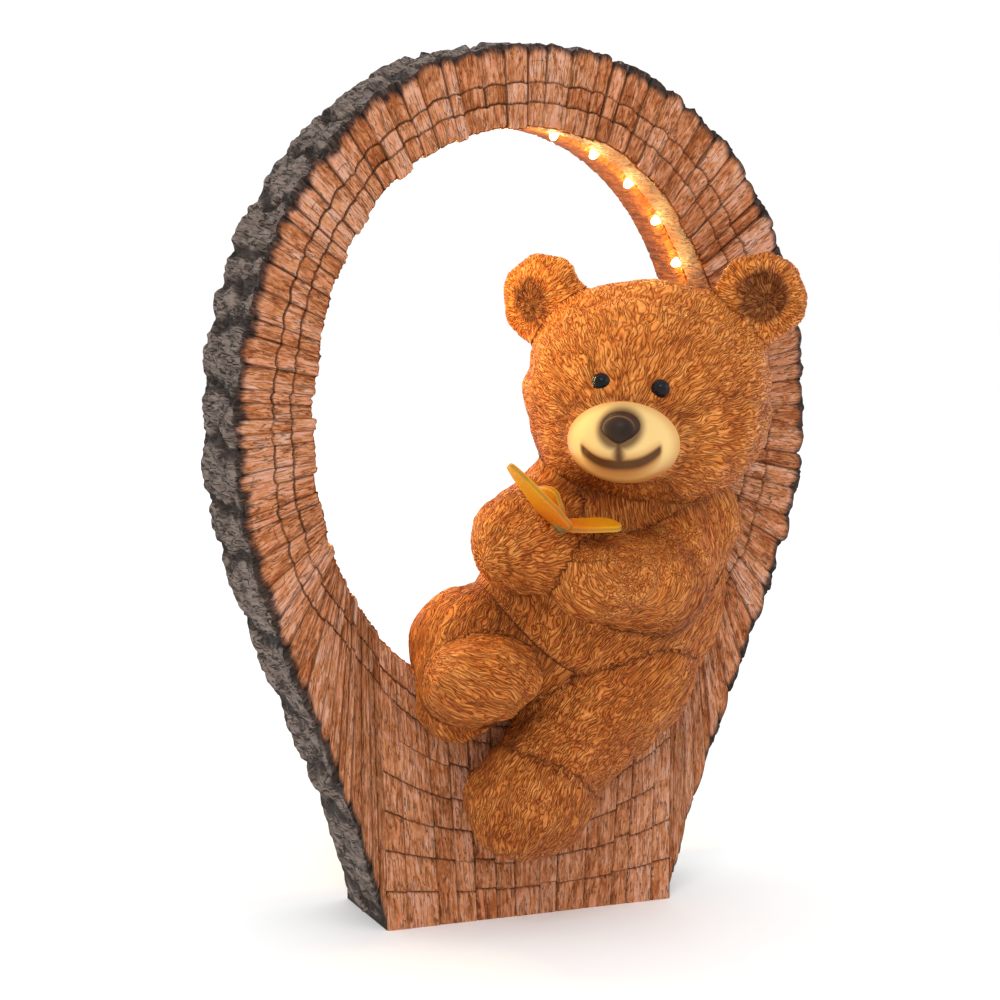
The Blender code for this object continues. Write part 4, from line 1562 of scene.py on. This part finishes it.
    def cast(self, name: str, places: np.ndarray, faces: np.ndarray, marks: Marks,
             finish: bpy.types.Material) -> bpy.types.Object:
        """Puts a smooth piece of the face on the statue.

        Args:
            name: The piece's name.
            places: Its vertices in the figure's millimetres.
            faces: Its faces.
            marks: What its paint reads.
            finish: Its finish.

        Returns:
            The piece.
        """
        mesh = mesh_from(name, places, faces, marks)
        mesh.transform(self.bear.matrix())
        return put(name, mesh, finish, slot="painted_resin")

    def build(self) -> list[bpy.types.Object]:
        """Builds the muzzle, the nose and both eyes.

        Returns:
            The pieces.
        """
        eyes = [self.eye(side, at) for side, at in zip(("left", "right"), self.eyes_at)]
        return [self.muzzle(), self.nose(), *eyes]


@dataclass(frozen=True)
class WingPaint:
    """Yellow-ochre wings, orange towards the body and olive along the edges."""

    yellow: Colour = paint(200, 136, 16)
    orange: Colour = paint(190, 98, 18)
    olive: Colour = paint(120, 92, 34)

    def material(self, name: str) -> bpy.types.Material:
        """The finish.

        Args:
            name: The material's name.

        Returns:
            The material.
        """
        sheet = NodeSheet(name, specular_ior_level=0.25)
        cloud = sheet.noise(sheet.where((1.0, 1.0, 1.0)), 160.0, 4.0, 0.5)
        vein = sheet.line(sheet.noise(sheet.place("wing", (3.0, 0.6, 1.0)), 1.6, 1.0, 0.3), 0.05)
        share = sheet.sum("MULTIPLY.", sheet.mark("root"), sheet.sum("ADD", 0.35, cloud))
        colour = sheet.blend(share, self.yellow, self.orange)
        colour = sheet.blend(sheet.sum("MULTIPLY.", vein, 0.3), colour, self.orange)
        edge = sheet.sum("MULTIPLY.", sheet.mark("edge"), sheet.sum("ADD", 0.15, cloud))
        colour = sheet.blend(edge, colour, self.olive)
        gloss = sheet.sum("ADD", 0.38, sheet.sum("MULTIPLY", cloud, 0.2))
        height = sheet.sum("SUBTRACT.", sheet.sum("MULTIPLY", cloud, 0.5), sheet.sum("MULTIPLY", vein, 0.4))
        return sheet.finish(colour, gloss, height, 0.0003, 0.7)


@dataclass
class Butterfly:
    """The butterfly on the bear's paws."""

    bear: Bear
    at: Point = (-6.0, -50.0, 88.0)
    body_radii: Point = (3.0, 10.0, 3.0)
    thickness: float = 3.4
    squareness: float = 0.62
    wings: tuple[tuple[str, tuple[float, float], float, float, float, float], ...] = (
        ("tall_wing", (-24.5, 28.0), 19.0, -3.0, 4.0, -0.5),
        ("back_wing", (-4.5, 16.0), 20.0, 10.0, 18.0, 0.0),
        ("low_wing", (26.0, -0.5), 19.0, -2.0, 5.0, 0.12),
    )
    rings: int = 22
    spokes: int = 64

    def wing(self, name: str, tip: tuple[float, float], chord: float, back: float, pitch: float,
             flare: float) -> bpy.types.Object:
        """One wing, thickest along its middle and rounded at its edge.

        Args:
            name: The piece's name.
            tip: Where its tip is beside and above the body.
            chord: Its depth from front to back.
            back: How far it is set back.
            pitch: How far it is turned about its span, in degrees.
            flare: How much deeper it is at the tip than in the middle; below zero where it is pointed.

        Returns:
            The wing.
        """
        span = math.hypot(*tip)
        across, up = tip[0] / span, tip[1] / span
        lean = math.radians(pitch)
        share, turn = np.meshgrid(np.linspace(-1.0, 1.0, self.rings), circle(self.spokes))
        size = np.sqrt(1.0 - np.abs(share) ** 6) * 0.999 + 0.001
        size = np.where(np.abs(share) > 0.55, size, 1.0)
        size = size * np.clip((1.02 - np.abs(share)) / 0.3, 0.0, 1.0) ** 0.35
        long = np.sign(np.cos(turn)) * np.abs(np.cos(turn)) ** self.squareness
        wide = np.sign(np.sin(turn)) * np.abs(np.sin(turn)) ** self.squareness
        out = span * (0.5 - 0.53 * long * size)
        scallop = 1.0 + 0.03 * np.cos(turn * 9)
        deep = back + chord / 2 * wide * size * scallop * (1.0 + flare * (2.0 * out / span - 1.0))
        lift = np.sign(share) * self.thickness / 2 * (1.0 - (1.0 - np.abs(share)) ** 2) * 0.9
        flat = deep - back
        deep = back + flat * math.cos(lean) - lift * math.sin(lean)
        lift = flat * math.sin(lean) + lift * math.cos(lean)
        places = np.stack([across * out - up * lift, deep, up * out + across * lift], axis=-1)
        places = places.reshape(-1, 3) + self.at
        edge = 1.0 - smooth_step(0.0, 0.5, np.abs(share))
        marks = {
            "edge": edge.ravel(),
            "root": (1.0 - smooth_step(0.1, 0.8, out / span)).ravel(),
            "wing": np.stack([turn, out / 5.0, share * 0], axis=-1).reshape(-1, 3),
        }
        mesh = mesh_from(name, places, grid_faces(self.spokes, self.rings, True), marks)
        mesh.transform(self.bear.matrix())
        return put(name, mesh, WingPaint().material(name + "_paint"), slot="painted_resin")

    def body(self) -> bpy.types.Object:
        """The olive-grey body in three swellings.

        Returns:
            The body.
        """
        steps, spokes = 40, 28
        share, turn = np.meshgrid(np.linspace(0.0, 1.0, steps), circle(spokes))
        width = np.sin(math.pi * share) ** 0.5 * (0.8 + 0.2 * np.cos(share * 6 * math.pi))
        width = width * self.body_radii[0]
        y = (share * 2 - 1) * self.body_radii[1]
        places = np.stack([width * np.sin(turn), y, width * np.cos(turn)], axis=-1).reshape(-1, 3) + self.at
        marks = {"edge": np.ones(share.size), "root": np.zeros(share.size), "wing": places / 4.0}
        mesh = mesh_from("butterfly_body", places, grid_faces(spokes, steps, True), marks)
        mesh.transform(self.bear.matrix())
        olive = WingPaint(paint(150, 124, 70), paint(120, 96, 60), paint(84, 74, 56))
        return put("butterfly_body", mesh, olive.material("butterfly_body_paint"), slot="painted_resin")

    def build(self) -> list[bpy.types.Object]:
        """Builds the wings and the body."""
        return [*[self.wing(*wing) for wing in self.wings], self.body()]


@dataclass(frozen=True)
class LampGlow:
    """Warm clear resin with the light behind it."""

    resin: Colour = paint(255, 214, 140)
    hot: Colour = paint(255, 236, 190)
    strength: float = 14.0

    def material(self) -> bpy.types.Material:
        """The finish.

        Returns:
            The material.
        """
        sheet = NodeSheet("lit_lamp_resin", emission_strength=self.strength, coat_weight=0.5)
        cloud = sheet.noise(sheet.where((1.0, 1.0, 1.0)), 700.0, 2.0)
        glow = sheet.ramp(cloud, (0.3, self.resin), (0.7, self.hot))
        sheet.tree.links.new(glow, sheet.shader.inputs["Emission Color"])
        gloss = sheet.sum("ADD", 0.15, sheet.sum("MULTIPLY", cloud, 0.15))
        return sheet.finish(glow, gloss, cloud, 0.0002, 0.4)


@dataclass(frozen=True)
class WirePaint:
    """Lacquered copper wire."""

    copper: Colour = paint(176, 104, 52)
    dull: Colour = paint(108, 62, 34)

    def material(self) -> bpy.types.Material:
        """The finish.

        Returns:
            The material.
        """
        sheet = NodeSheet("copper_lamp_wire", metallic=0.85)
        cloud = sheet.noise(sheet.where((1.0, 1.0, 1.0)), 420.0, 3.0)
        colour = sheet.ramp(cloud, (0.35, self.dull), (0.65, self.copper))
        gloss = sheet.sum("ADD", 0.25, sheet.sum("MULTIPLY", cloud, 0.25))
        return sheet.finish(colour, gloss, cloud, 0.0001, 0.5)


@dataclass
class LampString:
    """The lit lamps in the opening's wall and the wire that carries them."""

    log: LogSlice
    count: int = 17
    start: float = 31.0
    end: float = 222.0
    wire_diameter: float = 0.0016
    strand_radius: float = 0.00042
    clearance: float = 0.0003
    lamp_radius: float = 0.0023
    lamp_height: float = 0.0036
    lamp_sides: int = 24
    light_power: float = 0.030
    left_light_power: float = 0.080
    light_colour: Colour = (1.0, 0.80, 0.28)
    twist: float = 0.006

    def wall_point(self, angle: float, lift: float) -> tuple[Vector, Vector]:
        """A place above the channel's floor.

        Args:
            angle: Direction about the opening's centre.
            lift: How far off the floor.

        Returns:
            The place, and the way that stands straight off the floor.
        """
        ends = []
        for step in (0.0, -0.003, 0.003):
            turn = np.array([angle + step])
            x, z = self.log.at(turn, self.log.opening_radius(turn) + self.log.channel_depth)[0]
            ends.append(Vector((x, 0.0, z)))
        along = (ends[2] - ends[1]).normalized()
        inward = Vector((-along.z, 0.0, along.x))
        return ends[0] + lift * inward, inward

    def lamp(self, node: str, finish: bpy.types.Material) -> bpy.types.Object:
        """One lamp: a bead on a moulded collar, where its solid is.

        Args:
            node: The name of its solid.
            finish: Its finish.

        Returns:
            The lamp.
        """
        low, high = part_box(node)
        centre = (low + high) / 2
        angle = math.atan2(centre.z - self.log.opening_z, centre.x - self.log.opening_x)
        foot, inward = self.wall_point(angle, self.wire_diameter + 2 * self.clearance)
        profile = [(0.0, 0.0), (1.0, 0.0), (1.0, 0.14), (0.90, 0.20), (0.86, 0.30)]
        profile += [(0.86 * math.cos(t), 0.30 + 0.70 * math.sin(t)) for t in np.linspace(0.1, math.pi / 2, 9)]
        turn = circle(self.lamp_sides)
        rows = np.array(profile)
        right = np.outer(np.cos(turn), rows[:, 0]) * self.lamp_radius
        deep = np.outer(np.sin(turn), rows[:, 0]) * self.lamp_radius
        tall = np.outer(np.ones(self.lamp_sides), rows[:, 1]) * self.lamp_height
        places = np.stack([right, deep, tall], axis=-1).reshape(-1, 3)
        mesh = mesh_from(node + "_bead", places, grid_faces(self.lamp_sides, len(rows), True), {})
        mesh.transform(Matrix.Translation(foot) @ inward.to_track_quat("Z", "Y").to_matrix().to_4x4())
        piece = put(node + "_bead", mesh, finish, slot="lamp")
        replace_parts(piece, node)
        self.light(node, foot + inward * self.lamp_height * 1.6)
        return piece

    def light(self, name: str, place: Vector) -> None:
        """The warm light that a lamp throws on what is round it.

        Args:
            name: The lamp's name.
            place: Where the lamp is, in metres.
        """
        light = bpy.data.lights.new(name + "_light", "POINT")
        light.energy = self.left_light_power if place.x < self.log.opening_x else self.light_power
        light.color = self.light_colour
        light.shadow_soft_size = 0.002
        item = bpy.data.objects.new(name + "_light", light)
        item.location = place
        bpy.context.scene.collection.objects.link(item)

    def wire(self) -> bpy.types.Object:
        """Two lacquered strands twisted together along the channel.

        Returns:
            The wire.
        """
        steps, sides = 700, 6
        angles = np.radians(np.linspace(self.start, self.end, steps))
        middle = [self.wall_point(angle, self.clearance + self.wire_diameter / 2) for angle in angles]
        centre = np.array([place for place, _ in middle])
        inward = np.array([way for _, way in middle])
        run = np.concatenate(([0.0], np.cumsum(np.linalg.norm(np.diff(centre, axis=0), axis=1))))
        depth = np.array((0.0, 1.0, 0.0))
        meshes, faces = [], []
        for strand in (0.0, math.pi):
            phase = run / self.twist * 2 * math.pi + strand
            side = np.cos(phase)[:, None] * inward + np.sin(phase)[:, None] * depth
            line = centre + self.strand_radius * 0.9 * side
            ring = np.linspace(0, 2 * math.pi, sides, endpoint=True)
            tube = line[:, None] + self.strand_radius * (
                np.cos(ring)[None, :, None] * inward[:, None] + np.sin(ring)[None, :, None] * depth)
            faces.append(grid_faces(steps, sides, False) + len(meshes) * steps * sides)
            meshes.append(tube.reshape(-1, 3))
        mesh = mesh_from("twisted_lamp_wire", np.concatenate(meshes), np.concatenate(faces), {})
        piece = put("twisted_lamp_wire", mesh, WirePaint().material(), slot="lamp_wire")
        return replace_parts(piece, "lamp_wire")

    def build(self) -> list[bpy.types.Object]:
        """Builds the wire and the lamps.

        Returns:
            The wire, then the lamps.
        """
        finish = LampGlow().material()
        names = [f"lamp_{number:02d}" for number in range(1, self.count + 1)]
        return [self.wire(), *[self.lamp(name, finish) for name in names]]


@dataclass(frozen=True)
class CellGlass:
    """Dark blue cells behind glass, with fine silver lines."""

    blue: Colour = paint(18, 26, 58)
    deep: Colour = paint(10, 13, 30)
    silver: Colour = paint(150, 156, 168)
    cell: float = 0.0105

    def material(self) -> bpy.types.Material:
        """The finish.

        Returns:
            The material.
        """
        sheet = NodeSheet("solar_cell_glass", coat_weight=0.8, coat_roughness=0.05)
        place = sheet.node("TexCoord", {}).outputs["Object"]
        turned = sheet.node("Mapping", {0: place, 2: (math.pi / 2, 0.0, 0.0)}).outputs[0]
        sizes = {"Scale": 1.0, "Mortar Size": 0.00028, "Brick Width": self.cell, "Row Height": self.cell}
        inputs = {"Vector": turned, **sizes}
        cells = sheet.node("TexBrick", inputs, offset=0.0)
        line = cells.outputs["Fac"]
        cloud = sheet.noise(sheet.where((1.0, 1.0, 1.0)), 300.0, 3.0)
        colour = sheet.blend(cloud, self.deep, self.blue)
        colour = sheet.blend(line, colour, self.silver)
        gloss = sheet.sum("ADD", 0.12, sheet.sum("MULTIPLY", cloud, 0.12))
        return sheet.finish(colour, gloss, line, 0.0001, 0.4)


@dataclass(frozen=True)
class CasePaint:
    """Black moulded plastic with a fine grain."""

    black: Colour = paint(30, 30, 32)
    worn: Colour = paint(62, 60, 60)

    def material(self) -> bpy.types.Material:
        """The finish.

        Returns:
            The material.
        """
        sheet = NodeSheet("panel_case_plastic")
        cloud = sheet.noise(sheet.where((1.0, 1.0, 1.0)), 1400.0, 3.0)
        wear = sheet.noise(sheet.where((1.0, 1.0, 1.0)), 60.0, 4.0)
        colour = sheet.ramp(wear, (0.4, self.black), (0.8, self.worn))
        gloss = sheet.sum("ADD", 0.4, sheet.sum("MULTIPLY", cloud, 0.25))
        return sheet.finish(colour, gloss, cloud, 0.0002, 0.6)


@dataclass
class SolarPanel:
    """The framed panel on the back of the base."""

    rim: float = 0.0040
    recess: float = 0.0012
    rounding: float = 0.0009

    def build(self) -> list[bpy.types.Object]:
        """Builds the case and the cells where the solid is.

        Returns:
            The two pieces.
        """
        low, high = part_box("solar_panel")
        centre, size = (low + high) / 2, high - low
        shape = bmesh.new()
        place = Matrix.Translation(centre) @ Matrix.Diagonal((*size, 1.0))
        bmesh.ops.create_cube(shape, size=1.0, matrix=place)
        back = max(shape.faces, key=lambda face: face.calc_center_median().y)
        bmesh.ops.inset_region(shape, faces=[back], thickness=self.rim)
        bmesh.ops.translate(shape, verts=back.verts[:], vec=(0.0, -self.recess, 0.0))
        edges = [edge for edge in shape.edges if edge.calc_face_angle(0.0) > 0.5]
        bmesh.ops.bevel(shape, geom=edges, offset=self.rounding, segments=3, profile=0.5, affect="EDGES")
        mesh = bpy.data.meshes.new("panel_case")
        shape.to_mesh(mesh)
        shape.free()
        case = put("panel_case", mesh, CasePaint().material(), slot="solar_cell")
        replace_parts(case, "solar_panel")
        return [case, self.cells(centre, size)]

    def cells(self, centre: Vector, size: Vector) -> bpy.types.Object:
        """The glass over the cells, a shallow pillow in the case.

        Args:
            centre: The panel's middle.
            size: Its width, thickness and height.

        Returns:
            The piece.
        """
        half_wide, half_high = size.x / 2 - self.rim, size.z / 2 - self.rim
        columns, rows = 25, 19
        across, up = np.meshgrid(np.linspace(-1, 1, columns), np.linspace(-1, 1, rows))
        pillow = (1 - across**8) * (1 - up**8)
        y = centre.y + size.y / 2 - self.recess + 0.00005 + 0.0004 * pillow
        places = np.stack([centre.x - across * half_wide, y, centre.z + up * half_high], axis=-1)
        places = places.reshape(-1, 3)
        mesh = mesh_from("panel_cells", places, grid_faces(rows, columns, False), {})
        return put("panel_cells", mesh, CellGlass().material(), slot="solar_cell")


@dataclass
class Studio:
    """The pale floor, the soft lights and the camera at the photograph's angle."""

    camera_at: Point = (-0.47707, -1.21202, 0.37381)
    yaw: float = 21.343888
    pitch: float = -7.916219
    roll: float = -0.290679
    lens: float = 100.8
    sensor: float = 36.0
    target: Point = (0.0, 0.0, 0.19)
    air: float = 1.06
    floor_reach: float = 6.0
    lights: tuple[tuple[str, Point, float, float], ...] = (
        ("key_light", (-0.8, -1.5, 1.5), 0.8, 11.0),
        ("fill_light", (1.5, -1.3, 0.8), 1.2, 5.0),
        ("back_light", (0.3, 1.8, 0.9), 1.4, 4.0),
    )

    def camera(self) -> None:
        """Sets the camera where the photograph was taken from."""
        turn = Matrix.Rotation(math.radians(-self.yaw), 4, "Z")
        turn = turn @ Matrix.Rotation(math.radians(90.0 + self.pitch), 4, "X")
        data = bpy.data.cameras.new("photo_camera")
        data.lens, data.sensor_width = self.lens, self.sensor
        item = bpy.data.objects.new("photo_camera", data)
        roll = Matrix.Rotation(math.radians(self.roll), 4, "Z")
        item.matrix_world = Matrix.Translation(self.camera_at) @ turn @ roll
        bpy.context.scene.collection.objects.link(item)
        bpy.context.scene.camera = item

    def floor(self) -> None:
        """The pale floor, fading into the backdrop."""
        mesh = bpy.data.meshes.new("studio_floor")
        turns = ((-1, -1), (1, -1), (1, 1), (-1, 1))
        corners = [(x * self.floor_reach, y * self.floor_reach, 0) for x, y in turns]
        mesh.from_pydata(corners, [], [(0, 1, 2, 3)])
        sheet = NodeSheet("studio_floor_paint")
        cloud = sheet.noise(sheet.where((1.0, 1.0, 1.0)), 3.0, 2.0)
        colour = sheet.ramp(cloud, (0.0, (0.93, 0.93, 0.93)), (1.0, (0.97, 0.97, 0.97)))
        gloss = sheet.sum("ADD", 0.8, sheet.sum("MULTIPLY", cloud, 0.1))
        mesh.materials.append(sheet.finish(colour, gloss, cloud, 0.0001, 0.1))
        item = bpy.data.objects.new("studio_floor", mesh)
        bpy.context.scene.collection.objects.link(item)

    def light(self, name: str, place: Point, size: float, power: float) -> None:
        """One soft square light, turned to the statue.

        Args:
            name: Its name.
            place: Where it stands.
            size: Its side.
            power: Its power in watts.
        """
        data = bpy.data.lights.new(name, "AREA")
        data.energy, data.size = power, size
        item = bpy.data.objects.new(name, data)
        item.location = place
        item.rotation_euler = (Vector(self.target) - Vector(place)).to_track_quat("-Z", "Y").to_euler()
        bpy.context.scene.collection.objects.link(item)

    def build(self) -> None:
        """Sets up the whole studio."""
        self.camera()
        self.floor()
        for light in self.lights:
            self.light(*light)
        world = bpy.data.worlds.new("studio_air")
        world.use_nodes = True
        world.node_tree.nodes["Background"].inputs["Color"].default_value = (1.0, 1.0, 1.0, 1.0)
        world.node_tree.nodes["Background"].inputs["Strength"].default_value = self.air
        bpy.context.scene.world = world
        bpy.context.scene.view_settings.view_transform = "Standard"


def main() -> None:
    """Builds the statue's looks and its studio."""
    logging.basicConfig(level=logging.INFO, format="%(relativeCreated)d ms %(message)s")
    log = LogSlice()
    bear = Bear(log)
    for part in (log, bear, Face(bear), Butterfly(bear), LampString(log), SolarPanel()):
        part.build()
    Studio().build()


if __name__ == "__main__":
    main()
